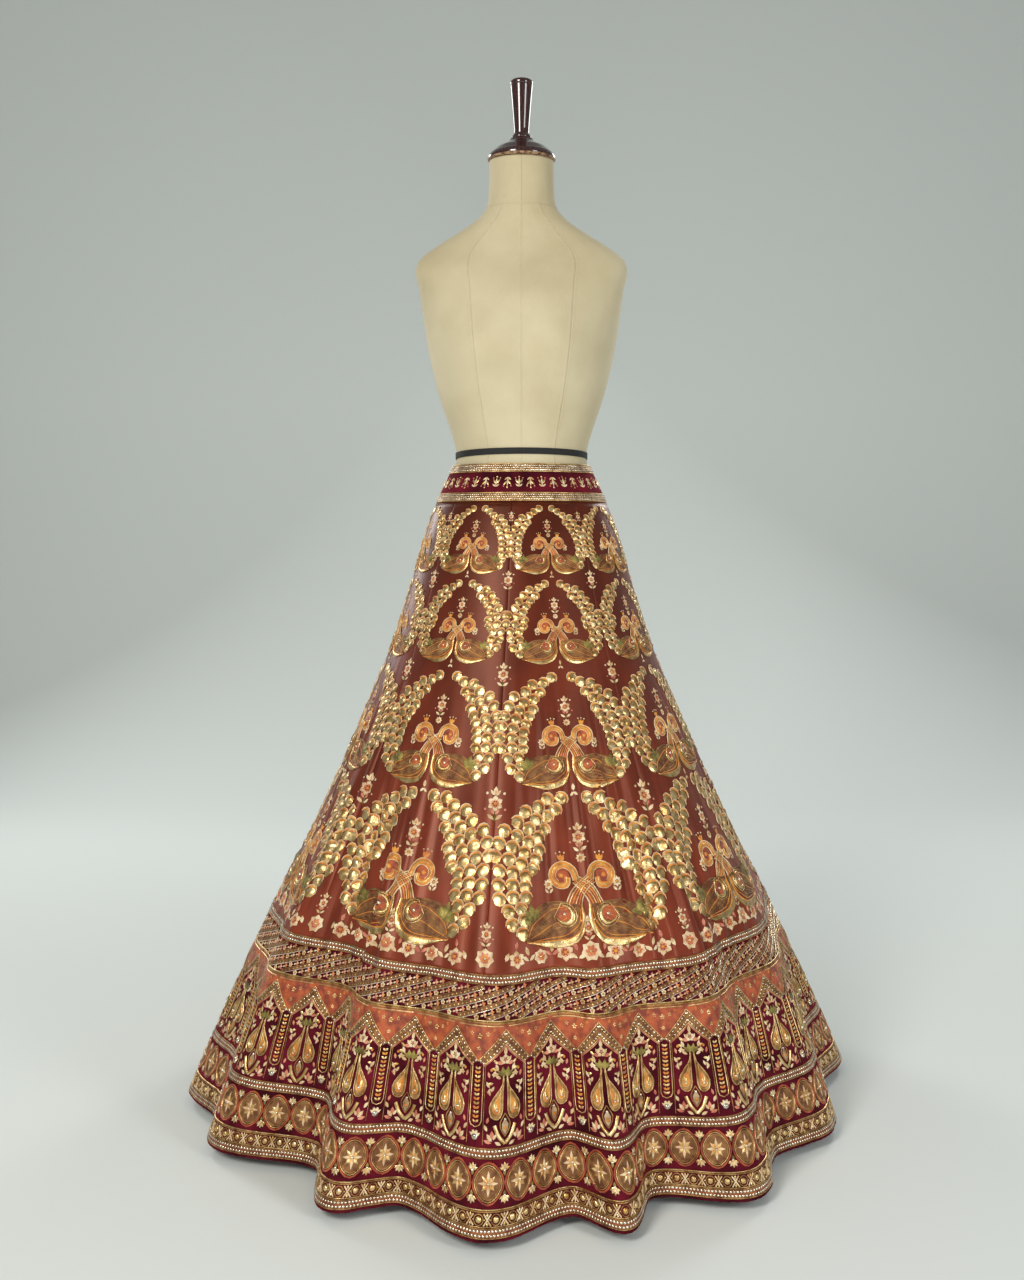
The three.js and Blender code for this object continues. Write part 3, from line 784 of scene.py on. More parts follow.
def peacock(counts, size):
    """The right-hand bird of a pair, its tail built from rows of so many scales."""
    bird = Work()
    outer = curve([(0.004, 0.064), (0.003, 0.034), (0.018, 0.009), (0.052, 0.0),
                   (0.098, 0.013)], 15)
    inner = curve([(0.007, 0.063), (0.0085, 0.036), (0.023, 0.0165), (0.054, 0.0105),
                   (0.098, 0.013)], 15)
    back = curve([(0.022, 0.066), (0.040, 0.067), (0.068, 0.064), (0.092, 0.046),
                  (0.098, 0.014)], 15)
    bird.field("foil", outer, inner, 0.0013, across=2)
    bird.cord("orange", inner, 0.0016, 0.0013, base=0.0006)
    bird.cord("zari", outer, 0.0012, 0.0012)
    bird.field("bronze", inner, back, 0.0008, across=5)
    for n, share in enumerate(np.linspace(0.10, 0.97, 9)):
        line = inner * (1 - share) + back * share
        line[1:-1, 1] += 0.0009 * np.sin(np.arange(1, len(line) - 1) * 1.3 + n)
        bird.cord("zari" if n % 3 else "orange", line[1:-1], 0.0014, 0.0010, base=0.0008)
    bird.dome("brick", 0.032, 0.047, 0.0165, 0.0016, sides=14)
    a = np.radians(np.linspace(75, 350, 16))
    bow = np.stack((np.cos(a), np.sin(a)), axis=-1)
    thick = 0.0068 * np.sin(np.linspace(0.25, np.pi - 0.1, 16))[:, None]
    bird.field("foil", bow * (0.0145 - thick) + (0.032, 0.047), bow * 0.0145 + (0.032, 0.047),
               0.0018, across=3, base=0.0016)
    bird.cord("foil", np.vstack((bow * 0.0172, bow[:1] * 0.0172)) + (0.032, 0.047), 0.0013, 0.0012,
              base=0.0010)
    bird.dome("bead", 0.033, 0.048, 0.0026, 0.0036, sides=8)
    for turn, long in ((-62, 0.022), (-34, 0.028), (-6, 0.029), (22, 0.024)):
        bird.petal("olive", 0.082, 0.038, turn, long, 0.013, 0.0030)
    left = curve([(0.006, 0.062), (0.002, 0.074), (-0.006, 0.086), (-0.016, 0.094)], 8)
    right = curve([(0.028, 0.065), (0.019, 0.082), (0.008, 0.094), (-0.006, 0.104)], 8)
    bird.field("brick", left, right, 0.0012, across=3)
    for share, thread in ((0.0, "cream"), (0.2, "orange"), (0.4, "foil"), (0.6, "orange"),
                          (0.8, "foil"), (1.0, "cream")):
        bird.cord(thread, left * (1 - share) + right * share, 0.0019, 0.0012, base=0.0010)
    head = curve([(-0.010, 0.098), (-0.014, 0.113), (-0.027, 0.1205), (-0.041, 0.114),
                  (-0.045, 0.101), (-0.037, 0.090), (-0.026, 0.092), (-0.024, 0.102)], 20)
    bird.dome("brick", -0.0315, 0.1035, 0.0120, 0.0012, sides=12)
    bird.cord("orange", head, 0.0086, 0.0020)
    bird.cord("foil", head, 0.0016, 0.0010, base=0.0019)
    bird.cord("cream", beside(head, 0.0050), 0.0015, 0.0014)
    bird.cord("cream", beside(head, -0.0050)[:-6], 0.0015, 0.0014)
    bird.dome("orange", -0.0325, 0.1040, 0.0040, 0.0024, sides=8)
    bird.dome("cream", -0.0325, 0.1040, 0.0017, 0.0034, sides=6)
    for turn in (-20, 6, 32):
        bird.petal("orange", -0.029, 0.1245, turn, 0.012, 0.0046)
        bird.dome("cream", -0.029 - 0.0145 * math.sin(math.radians(turn)),
                  0.1245 + 0.0145 * math.cos(math.radians(turn)), 0.0015, 0.0015, sides=6)
    spine = curve([(0.101, 0.020), (0.111, 0.066), (0.106, 0.118), (0.082, 0.168),
                   (0.044, 0.206), (0.012, 0.226)], 200)
    run = np.concatenate(([0], np.cumsum(np.hypot(*np.diff(spine, axis=0).T))))
    for row, count in enumerate(counts):
        at = run[-1] * (row + 0.35) / (len(counts) - 0.1)
        x, y = (np.interp(at, run, spine[:, k]) for k in (0, 1))
        ahead = [np.interp(min(at + 0.004, run[-1]), run, spine[:, k]) for k in (0, 1)]
        behind = [np.interp(at - 0.004, run, spine[:, k]) for k in (0, 1)]
        turn = math.atan2(-(ahead[0] - behind[0]), ahead[1] - behind[1])
        for i in range(count):
            offset = (i - (count - 1) / 2) * size * 0.98
            bow = -0.10 * size * (abs(i - (count - 1) / 2)) ** 1.5
            bird.paste(tail_scale(size),
                       x + offset * math.cos(turn) - bow * math.sin(turn),
                       y + offset * math.sin(turn) + bow * math.cos(turn),
                       math.degrees(turn) * 0.75)
    bird.paste(small_flower, 0.052, 0.092)
    bird.paste(leaf_pair(0.009, 40), 0.052, 0.079)
    return bird


def pair_of_peacocks(counts, size):
    pair = peacock(counts, size).both_sides()
    pair.paste(spray, 0, 0.160, scale=0.95)
    pair.paste(small_flower, 0, 0.131, scale=0.9)
    pair.petal("cream", 0, -0.002, 0, 0.014, 0.006)
    pair.petal("cream", 0, -0.004, 140, 0.010, 0.005)
    pair.petal("cream", 0, -0.004, 220, 0.010, 0.005)
    return pair


# height of the birds' feet, size against the drawing, scale's drawn width, scales in each row
TIERS = (
    (0.856, 0.49, 0.0235, (1, 1, 2, 2, 2, 2, 2, 2, 2, 1, 1, 1)),
    (0.722, 0.585, 0.0225, (1, 2, 2, 2, 3, 3, 2, 2, 2, 2, 1, 1)),
    (0.546, 0.77, 0.0215, (1, 2, 2, 3, 3, 3, 3, 3, 3, 2, 2, 1, 1)),
    (0.341, 0.965, 0.0205, (1, 2, 2, 3, 3, 3, 4, 4, 4, 3, 3, 2, 2, 1)),
)
for height, scale, size, counts in TIERS:
    lay("peacock", pair_of_peacocks(counts, size),
        [((k + 0.5) / GORES, height, scale, 0) for k in range(GORES)])
fasten("peacock")
for height, scale in ((0.945, 0.36), (0.846, 0.66), (0.706, 0.80), (0.528, 1.05)):
    lay("spray", spray, [(k / GORES, height, scale, 0) for k in range(GORES)])


# Vine: a running row of roses, open flowers and leaves in silk, sewn on the satin just above
# its join with the velvet. One drawing fills each gore, with a rose over each seam.

VINE_HEIGHT = 0.333
vine = Work()
vine.paste(rose, 0, 0.006, scale=1.1)
vine.paste(spray, 0, 0.036, scale=0.72)
for side in (-1, 1):
    vine.paste(full_flower, side * 0.037, 0.003)
    vine.paste(leaf_pair(0.013, 60), side * 0.019, -0.004)
    vine.petal("rose", side * 0.019, 0.006, -side * 20, 0.014, 0.006)
    vine.paste(leaf_pair(0.012, 55, "rose"), side * 0.056, 0.0)
    vine.petal("cream", side * 0.056, 0.004, side * 10, 0.013, 0.006)
    vine.paste(rose, side * 0.074, 0.0, scale=0.85)
    vine.paste(leaf_pair(0.012, 50), side * 0.093, -0.003)
    vine.petal("cream", side * 0.093, 0.004, -side * 15, 0.013, 0.006)
    vine.paste(full_flower, side * 0.112, 0.001, scale=0.95)
    vine.petal("rose", side * 0.112, 0.014, side * 15, 0.012, 0.005)
    vine.petal("cream", side * 0.129, 0.0, side * 30, 0.013, 0.006)
lay("spray", vine, [((k + 0.5) / GORES, VINE_HEIGHT, 1.0, 0) for k in range(GORES)])
seam_bloom = Work()
seam_bloom.paste(rose, 0, 0.004, scale=1.05)
seam_bloom.paste(spray, 0, 0.034, scale=0.7)
lay("spray", seam_bloom, [(k / GORES, VINE_HEIGHT, 1.0, 0) for k in range(GORES)])
fasten("spray")


# Bead lines: two rows of silver-lined beads between gold cords, on a flat braid. They run
# right round over the top join of the border, under the arcade and along the hem.

one_bead = Work()
one_bead.dome("bead", 0, 0, 0.0019, 0.0021, sides=6)
# height, beads round, distance between the two rows
for height, count, apart in ((0.3115, 560, 0.0050), (0.1125, 700, 0.0052), (0.0250, 760, 0.0048)):
    lay_ring("bead_line", "bronze", height, 0.0135, 0.0005)
    lay_ring("bead_line", "brick", height, 0.0010, 0.0010)
    for edge in (-1, 1):
        lay_ring("bead_line", "zari", height + edge * 0.0054, 0.0017, 0.0013)
        lay("bead_line", one_bead, [((n + 0.25 * edge) / count, height + edge * apart / 2, 1, 0)
                                    for n in range(count)])
fasten("bead_line")


# Striped band: slanting strips of metal thread, set with sequins and edged with cord, between
# strips of tiny silk flowers on the bare velvet.

BAND_LOW, BAND_HIGH = 0.264, 0.3045
STRIPS, STRIP_SLANT = 64, 19
strip_fall = slant_between(BAND_LOW, BAND_HIGH)
strip_run = strip_fall / math.tan(math.radians(STRIP_SLANT))
strip = Work()
low, high = 0.0012, strip_fall - 0.001
lean_line = np.linspace((0, low), (strip_run * (high - low) / strip_fall, high), 22)
strip.field("bronze", beside(lean_line, 0.0027), beside(lean_line, -0.0027), 0.0009, across=2)
for edge in (-0.0030, 0.0030):
    strip.cord("bead" if edge > 0 else "zari", beside(lean_line, edge), 0.0011, 0.0012)
for n, at in enumerate(np.linspace(0.03, 0.97, 19)):
    x, y = lean_line[0] * (1 - at) + lean_line[-1] * at
    strip.dome("foil", x, y, 0.0021, 0.0020, sides=5, lean=random.uniform(-0.25, 0.25, 2))
flower_line = lean_line + (0.0215, 0)
for n, at in enumerate(np.linspace(0.05, 0.95, 12)):
    x, y = flower_line[0] * (1 - at) + flower_line[-1] * at
    if n % 3 == 0:
        strip.paste(flower(0.0038, 5, "cream", "orange"), x, y)
    else:
        for turn, thread in ((-20, "rose"), (-74, "cream" if n % 3 == 1 else "orange"),
                             (-132, "rose"), (118, "cream")):
            strip.petal(thread, x, y, turn, 0.0050, 0.0026)
lay("stripes", strip, [(n / STRIPS + 0.003, BAND_LOW, 1, 0) for n in range(STRIPS)],
    share_width=float(length_round(0.284)))
lay_ring("stripes", "foil", 0.2632, 0.0022, 0.0016)
lay_ring("stripes", "zari", 0.2605, 0.0034, 0.0009)
fasten("stripes")


# Arcade: forty pointed arches of dark velvet under spandrels of brick silk, parted by narrow
# beaded pillars. In each stands a vase of two golden drops with a spray on top.

ARCHES = 40
ARCH_FOOT, ARCH_TOP = 0.1185, 0.2590
arch_fall = slant_between(ARCH_FOOT, ARCH_TOP)
HALF_BAY = 0.038
half_arch = Work()
crown = arch_fall * 0.835
spring = arch_fall * 0.665
pier = HALF_BAY - 0.0078
slope = curve([(0, crown), (pier * 0.36, crown - (crown - spring) * 0.42), (pier, spring)], 12)
slope_far = curve([(0, crown + 0.0185), (HALF_BAY * 0.42, crown + 0.0015),
                   (HALF_BAY, spring + 0.0045)], 12)
half_arch.field("brick", slope_far,
                np.linspace((0, arch_fall), (HALF_BAY, arch_fall), 12), 0.0007, across=4)
half_arch.field("bronze", slope, slope_far, 0.0010, across=3)
half_arch.cord("foil", slope, 0.0014, 0.0014)
half_arch.cord("zari", slope * 0.5 + slope_far * 0.5, 0.0013, 0.0012, base=0.0010)
half_arch.cord("foil", slope_far, 0.0013, 0.0016)
half_arch.cord("rose", beside(slope, 0.0016), 0.0013, 0.0010)
for line in (0.24, 0.76):
    for n, at in enumerate(np.linspace(0.04, 0.96, 9)):
        between = slope * (1 - line) + slope_far * line
        x, y = (np.interp(at, np.linspace(0, 1, 12), between[:, k]) for k in (0, 1))
        half_arch.dome("foil" if n % 2 else "bead", x, y, 0.0019, 0.0026, sides=5,
                       lean=random.uniform(-0.2, 0.2, 2))
half_arch.cord("foil", [(0.004, arch_fall - 0.002), (0.020, arch_fall - 0.002),
                        (HALF_BAY, arch_fall - 0.002)], 0.0022, 0.0014)
for x, y, size in ((0.0375, 0.90, 1.1), (0.026, 0.92, 0.9), (0.0375, 0.80, 0.8),
                   (0.017, 0.955, 0.7)):
    for turn in (0, 72, 144, 216, 288):
        half_arch.petal("foil" if size > 0.75 else "orange", x, y * arch_fall, turn,
                        0.0042 * size, 0.0022 * size, 0.0022)
half_arch.cord("foil", [(pier, spring), (pier, spring * 0.6), (pier, spring * 0.32),
                        (pier + 0.002, spring * 0.27), (HALF_BAY, spring * 0.245)], 0.0013, 0.0012)
half_arch.cord("zari", [(pier - 0.0026, spring), (pier - 0.0026, spring * 0.5),
                        (pier - 0.0026, 0.004)], 0.0009, 0.0007)
for n in range(13):
    y = spring * (0.30 + 0.70 * n / 13)
    half_arch.petal("orange" if n % 2 else "foil", HALF_BAY - 0.0003, y, -52, 0.0056, 0.0032, 0.0018)
half_arch.dome("bead", HALF_BAY, spring * 0.13, 0.0042, 0.0030, sides=8)
for turn in (-75, -115, -35):
    half_arch.petal("cream", HALF_BAY, spring * 0.13, turn + 90, 0.0085, 0.0036)

drop = curve([(0.0028, 0.086), (0.0048, 0.074), (0.0130, 0.063), (0.0205, 0.050),
              (0.0180, 0.037), (0.0090, 0.034), (0.0036, 0.043), (0.0034, 0.060),
              (0.0020, 0.084)], 19)
middle = np.array((0.0115, 0.048))
half_arch.field("orange", middle + (drop - middle) * 0.05, middle + (drop - middle) * 0.60,
                0.0010, across=2)
half_arch.field("zari", middle + (drop - middle) * 0.60, drop, 0.0014, across=2)
half_arch.cord("foil", drop, 0.0013, 0.0014)
half_arch.cord("foil", middle + (drop - middle) * 0.58, 0.0012, 0.0016)
half_arch.petal("foil", *(middle + (0, -0.007)), -8, 0.015, 0.0062, 0.0030)
half_arch.dome("bead", *(middle + (0, -0.003)), 0.0022, 0.0040, sides=6)
half_arch.cord("foil", curve([(0.0135, 0.027), (0.0080, 0.014), (0.0, 0.005)], 8), 0.0046, 0.0017)
half_arch.cord("zari", curve([(0.0, 0.0135), (0.0052, 0.022), (0.0062, 0.030), (0.0, 0.041)], 10),
               0.0014, 0.0013)
half_arch.petal("cream", 0.0, 0.0155, 0, 0.020, 0.0085, 0.0016)
for turn, x, y, long, thread in (
        (-35, 0.0165, 0.008, 0.011, "cream"), (-70, 0.0170, 0.006, 0.010, "rose"),
        (0, 0.0165, 0.010, 0.011, "rose"), (30, 0.0150, 0.010, 0.008, "cream"),
        (-60, 0.0050, 0.003, 0.009, "cream"), (-40, 0.0040, 0.086, 0.010, "olive"),
        (-8, 0.0020, 0.084, 0.014, "olive"), (-62, 0.0060, 0.083, 0.009, "cream"),
        (-20, 0.0100, 0.092, 0.010, "cream"), (-75, 0.0100, 0.094, 0.009, "foil"),
        (20, 0.0165, 0.085, 0.009, "cream"), (-100, 0.0160, 0.078, 0.008, "foil"),
        (-150, 0.0150, 0.074, 0.008, "cream"), (-35, 0.0030, 0.103, 0.009, "cream"),
        (-75, 0.0030, 0.101, 0.010, "rose"), (-55, 0.0190, 0.064, 0.007, "rose"),
        (-30, 0.0210, 0.072, 0.009, "cream"), (-95, 0.0090, 0.089, 0.010, "cream"),
        (-15, 0.0215, 0.084, 0.008, "rose"), (160, 0.0225, 0.070, 0.008, "cream"),
        (-48, 0.0105, 0.101, 0.008, "foil"), (-28, 0.0225, 0.020, 0.009, "cream"),
        (15, 0.0235, 0.029, 0.008, "rose")):
    half_arch.petal(thread, x, y, turn, long, long * 0.45)
half_arch.dome("orange", 0.0190, 0.094, 0.0020, 0.0018, sides=6)
half_arch.dome("cream", 0.0205, 0.070, 0.0016, 0.0016, sides=6)
arch = half_arch.both_sides()
arch.dome("orange", 0, 0.0235, 0.0026, 0.0030, sides=6)
arch.dome("bead", 0, 0.0335, 0.0018, 0.0026, sides=6)
arch.paste(flower(0.0066, 5, "cream", "rose"), 0, 0.1065)
arch.petal("cream", 0, 0.111, 0, 0.011, 0.0050)
lay("arcade", arch, [((n + 0.5) / ARCHES, ARCH_FOOT, 1, 0) for n in range(ARCHES)],
    share_width=ARCHES * HALF_BAY * 2)
fasten("arcade")


# Medallions: upright rounds of metal thread inside rings of brick silk and gold cord, each
# with a cross of petals. Small fans of leaves fill the gaps between them.

MEDALLIONS = 80
MEDAL_MIDDLE = 0.0795
BAY = 0.044
medal = Work()
a = np.linspace(0, 2 * np.pi, 21)[:-1]
quatrefoil = 1 + 0.04 * np.cos(4 * a)
rim = np.stack((0.0196 * quatrefoil * np.sin(a), 0.0232 * quatrefoil * np.cos(a)), axis=-1)
loop = np.vstack((rim, rim[:1]))
medal.field("bronze", loop * 0.03, loop * 0.80, 0.0007, across=2)
medal.cord("brick", rim[::-1] * 1.02, 0.0026, 0.0019, closed=True)
medal.cord("foil", rim[::-1] * 0.90, 0.0014, 0.0015, closed=True)
medal.cord("zari", rim[::-1] * 0.80, 0.0019, 0.0014, closed=True)
for turn in (0, 90, 180, 270):
    reach = 0.0162 if turn % 180 == 0 else 0.0140
    medal.petal("cream", 0, 0, turn, reach, 0.0052, 0.0026)
    medal.petal("foil", 0, 0, turn + 45, 0.0132, 0.0062, 0.0022)
    for side in (-1, 1):
        medal.petal("orange", 0, 0, turn + side * 21, 0.0105, 0.0024, 0.0018)
medal.dome("bead", 0, 0, 0.0022, 0.0036, sides=6)
for up in (1, -1):
    for turn, long, thread in ((0, 0.0095, "foil"), (32, 0.0088, "cream"), (-32, 0.0088, "cream"),
                               (64, 0.0080, "foil"), (-64, 0.0080, "foil")):
        medal.petal(thread, BAY / 2, up * 0.0150, turn if up > 0 else turn + 180,
                    long, long * 0.45)
    medal.petal("olive", BAY / 2, up * 0.0160, 180 if up > 0 else 0, 0.0080, 0.0042)
    medal.dome("bead", BAY / 2, up * 0.0145, 0.0017, 0.0024, sides=6)
lay("medallion", medal, [((n + 0.5) / MEDALLIONS, MEDAL_MIDDLE, 1, 0) for n in range(MEDALLIONS)],
    share_width=MEDALLIONS * BAY)
lay_ring("medallion", "foil", 0.0508, 0.0018, 0.0014)
lay_ring("medallion", "zari", 0.0486, 0.0022, 0.0009)
fasten("medallion")


# Hem row: gold rings, each round one sequin, and crosses of cream silk in turn. They run
# above the last line of beads.

LINKS = 160
LINK = 0.0228
LINK_HEIGHT = 0.0400
hem_row = Work()
a = np.linspace(0, 2 * np.pi, 15)[:-1]
ring = np.stack((0.0062 * np.sin(a), 0.0066 * np.cos(a)), axis=-1)
hem_row.cord("zari", ring[::-1], 0.0018, 0.0013, closed=True)
hem_row.dome("foil", 0, 0, 0.0042, 0.0016, sides=8, lean=(0.05, 0.1))
for side in (-1, 1):
    tie = curve([(LINK / 2 - 0.0048, side * 0.0070), (LINK / 2, 0.0),
                 (LINK / 2 + 0.0048, -side * 0.0070)], 5)
    hem_row.cord("cream", tie, 0.0021, 0.0014)
    hem_row.petal("foil", LINK / 2, side * 0.0028, 0 if side > 0 else 180, 0.0052, 0.0028)
    hem_row.dome("foil", LINK / 2 + side * 0.0040, 0, 0.0012, 0.0014, sides=5)
lay("hem_row", hem_row, [((n + 0.5) / LINKS, LINK_HEIGHT, 1, 0) for n in range(LINKS)],
    share_width=LINKS * LINK)
lay_ring("hem_row", "foil", 0.0322, 0.0014, 0.0011)
fasten("hem_row")


# Waistband work: a beaded braid along both edges of the band, and between them arrows of
# leaves in silk and foil that point up and down in turn.

ARROWS = 40
ARROW = 0.0194
ARROW_HEIGHT = 1.0005
BRAID_BEADS = 210
arrow = Work()
arrow.petal("cream", 0, -0.0085, 0, 0.0165, 0.0028, 0.0014)
for turn in (38, -38):
    arrow.petal("foil", 0, -0.0030, turn, 0.0105, 0.0034)
    arrow.petal("cream", 0, -0.0085, turn * 1.3, 0.0078, 0.0028)
arrow.dome("foil", 0, 0.0095, 0.0017, 0.0017, sides=6)
for side in (-1, 1):
    arrow.dome("rose", side * 0.0062, 0.0072, 0.0013, 0.0014, sides=6)
for n in range(ARROWS):
    flipped = Work()
    flipped.paste(arrow, turn=180 * (n % 2))
    lay("waist_work", flipped, [((n + 0.5) / ARROWS, ARROW_HEIGHT, 1, 0)], share_width=ARROWS * ARROW)
for height in (1.0238, 0.9772):
    lay_ring("waist_work", "zari", height, 0.0125, 0.0007, columns=360)
    for edge in (-0.0062, 0.0062):
        lay_ring("waist_work", "foil", height + edge, 0.0015, 0.0012, columns=360)
    for n_row, offset in enumerate((-0.0034, 0.0, 0.0034)):
        lay("waist_work", one_bead, [((n + 0.5 * (n_row % 2)) / BRAID_BEADS, height + offset,
                                       0.85, 0) for n in range(BRAID_BEADS)])
fasten("waist_work")


# Hem edge: a narrow strip of the velvet rolled over a twisted cord, which shows through it
# as a ribbed edge. It is sewn under the border's foot.

def rope_round(radius, height, turns, columns, sides, twist):
    """A closed twisted cord under the hem, of two strands."""
    around = np.linspace(0, 1, columns, endpoint=False)
    section = np.arange(sides) * 2 * np.pi / sides
    bulge = radius * (1 + twist * np.abs(np.sin(np.pi * turns * around[:, None] + section[None, :])))
    base = on_skirt(around, HEM_HEIGHT, -0.0009)
    outward = on_skirt(around, HEM_HEIGHT, 0.0001) - base
    outward[:, 2] = 0
    outward /= np.linalg.norm(outward, axis=1, keepdims=True)
    points = base[:, None, :] + outward[:, None, :] * (bulge * np.cos(section))[..., None]
    points[..., 2] = height + bulge * np.sin(section)
    faces = [(c * sides + k, c * sides + (k + 1) % sides,
              ((c + 1) % columns) * sides + (k + 1) % sides, ((c + 1) % columns) * sides + k)
             for c in range(columns) for k in range(sides)]
    return points.reshape(-1, 3), faces


rope_points, rope_faces = rope_round(0.0015, 0.0163, 310, 1240, 6, 0.32)
rolled_edge = add_mesh("rolled_hem_edge", rope_points, rope_faces, velvet)
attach(rolled_edge, "root")
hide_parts("hem_edge")


# Neck cap and handle: turned hardwood, stained dark cherry and varnished, with the veneer
# worn pale along the cap's lower rim.

def turned(name, profile, steps, material):
    """A turned solid on the form's axis, from radius and height pairs, lowest first."""
    a = np.arange(steps) * 2 * np.pi / steps
    rings = [np.stack((radius * np.sin(a), -radius * np.cos(a), 0 * a + height), axis=-1)
             for radius, height in profile]
    points = np.vstack(rings + [[(0, 0, profile[0][1])], [(0, 0, profile[-1][1])]])
    faces = [tuple(f) for f in grid_faces(len(profile), steps, closed=True)]
    foot, top = len(profile) * steps, len(profile) * steps + 1
    last = (len(profile) - 1) * steps
    for i in range(steps):
        onward = (i + 1) % steps
        faces.append((onward, i, foot))
        faces.append((last + i, last + onward, top))
    return add_mesh(name, points, faces, material)


def rounded(corners, cut=0.0012):
    """A profile with each inner corner eased into a short curve."""
    corners = np.array(corners, float)
    eased = [corners[0]]
    for before, here, after in zip(corners, corners[1:], corners[2:]):
        back, on = before - here, after - here
        share = min(cut / max(np.linalg.norm(back), 1e-9), 0.45)
        share_on = min(cut / max(np.linalg.norm(on), 1e-9), 0.45)
        start, end = here + back * share, here + on * share_on
        for t in (0, 0.33, 0.67, 1):
            eased.append(start * (1 - t) ** 2 + here * 2 * t * (1 - t) + end * t * t)
    eased.append(corners[-1])
    return [tuple(p) for p in eased]


cherry, tree, shader = principled("dark_cherry_varnish", Roughness=0.16, Coat_Weight=0.8,
                                  Coat_Roughness=0.06, Specular_IOR_Level=0.55)
links = tree.links
place = add_node(tree, "TexCoord")
grain = add_node(tree, "TexWave", Scale=55, Distortion=7, Detail=3)
grain.bands_direction = "X"
stain = two_colours(tree, (0.012, 0.003, 0.002, 1), (0.060, 0.012, 0.008, 1))
links.new(place.outputs["Object"], grain.inputs["Vector"])
links.new(grain.outputs["Fac"], stain.inputs["Fac"])
links.new(stain.outputs["Color"], shader.inputs["Base Color"])

worn_rim, tree, shader = principled("worn_rim", Roughness=0.5)
links = tree.links
place = add_node(tree, "TexCoord")
chips = add_node(tree, "TexNoise", Scale=130, Detail=4)
bare = two_colours(tree, (0.11, 0.035, 0.018, 1), (0.42, 0.27, 0.14, 1), 0.42, 0.58)
chip_bump = add_node(tree, "Bump", Strength=0.5, Distance=0.0006)
links.new(place.outputs["Object"], chips.inputs["Vector"])
links.new(chips.outputs["Fac"], bare.inputs["Fac"])
links.new(bare.outputs["Color"], shader.inputs["Base Color"])
links.new(chips.outputs["Fac"], chip_bump.inputs["Height"])
links.new(chip_bump.outputs["Normal"], shader.inputs["Normal"])

cap_low, cap_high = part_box("neck_cap")
cap_foot, cap_top = cap_low[2], cap_high[2]
brim = cap_foot + 0.013
cap = turned("turned_neck_cap", rounded([
    (0.050, cap_foot), (0.0535, cap_foot), (0.0560, cap_foot + 0.003), (0.0560, cap_foot + 0.007),
    (0.0520, brim - 0.0005), (0.0505, brim + 0.0002), (0.0400, cap_foot + 0.0225),
    (0.0270, cap_foot + 0.0290), (0.0205, cap_top - 0.0035), (0.0190, cap_top)]), 96, cherry)
cap.data.materials.append(worn_rim)
for face in cap.data.polygons:
    face.material_index = 1 if face.center.z < cap_foot + 0.0034 else 0
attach(cap, "root")
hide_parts("neck_cap")

grip_low, grip_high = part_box("handle")
grip_foot, grip_top = grip_low[2], grip_high[2]
grip_long = grip_top - grip_foot
grip_rows = ((0, 0.0165), (0.04, 0.0160), (0.085, 0.0126), (0.16, 0.0124), (0.30, 0.0134),
             (0.45, 0.0146), (0.60, 0.0158), (0.75, 0.0171), (0.88, 0.0183), (0.905, 0.0186),
             (0.912, 0.0179), (0.920, 0.0187), (0.955, 0.0190), (0.980, 0.0182), (1, 0.0160))
grip = turned("turned_handle", rounded([(r, grip_foot + t * grip_long) for t, r in grip_rows],
                                       0.0008), 64, cherry)
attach(grip, "root")
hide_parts("handle")


# Waist tape: black cotton twill stretched round the form at its narrowest, a little lower at
# the back. Its ends lap behind.

TAPE_HEIGHT, TAPE_TILT, TAPE_WIDTH = 1.046, 0.005, 0.010
tape_columns, tape_rows = 240, 7
a = np.linspace(0, 2 * np.pi, tape_columns, endpoint=False)
t = np.linspace(-0.5, 0.5, tape_rows)
middle_height = TAPE_HEIGHT + TAPE_TILT * np.cos(a)
lap = 0.0007 * (np.abs(np.degrees(a) - 172) < 9)
edge_roll = 0.0017 + 0.0002 * np.cos(t * np.pi)
outer = form_surface(a[None, :], middle_height[None, :] + TAPE_WIDTH * t[:, None],
                     edge_roll[:, None] + lap[None, :] * 0.5)
inner = form_surface(a[None, :], middle_height[None, :] + TAPE_WIDTH * t[:, None], 0.0006)
twill, tree, shader = principled("black_twill", Roughness=0.75)
links = tree.links
place = add_node(tree, "TexCoord")
slanted = add_node(tree, "TexWave", Scale=420, Distortion=0.4)
slanted.bands_direction = "DIAGONAL"
inky = two_colours(tree, (0.004, 0.004, 0.004, 1), (0.022, 0.022, 0.021, 1))
twill_bump = add_node(tree, "Bump", Strength=0.5, Distance=0.0004)
links.new(place.outputs["Object"], slanted.inputs["Vector"])
links.new(slanted.outputs["Fac"], inky.inputs["Fac"])
links.new(inky.outputs["Color"], shader.inputs["Base Color"])
links.new(slanted.outputs["Fac"], twill_bump.inputs["Height"])
links.new(twill_bump.outputs["Normal"], shader.inputs["Normal"])
tape = closed_wall("twill_waist_tape", outer, inner, twill)
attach(tape, "root")
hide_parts("waist_tape")


# Stand: a turned steel plate, a collar with set screws, a pole and a flanged socket under the
# torso. All of it stands inside the skirt.

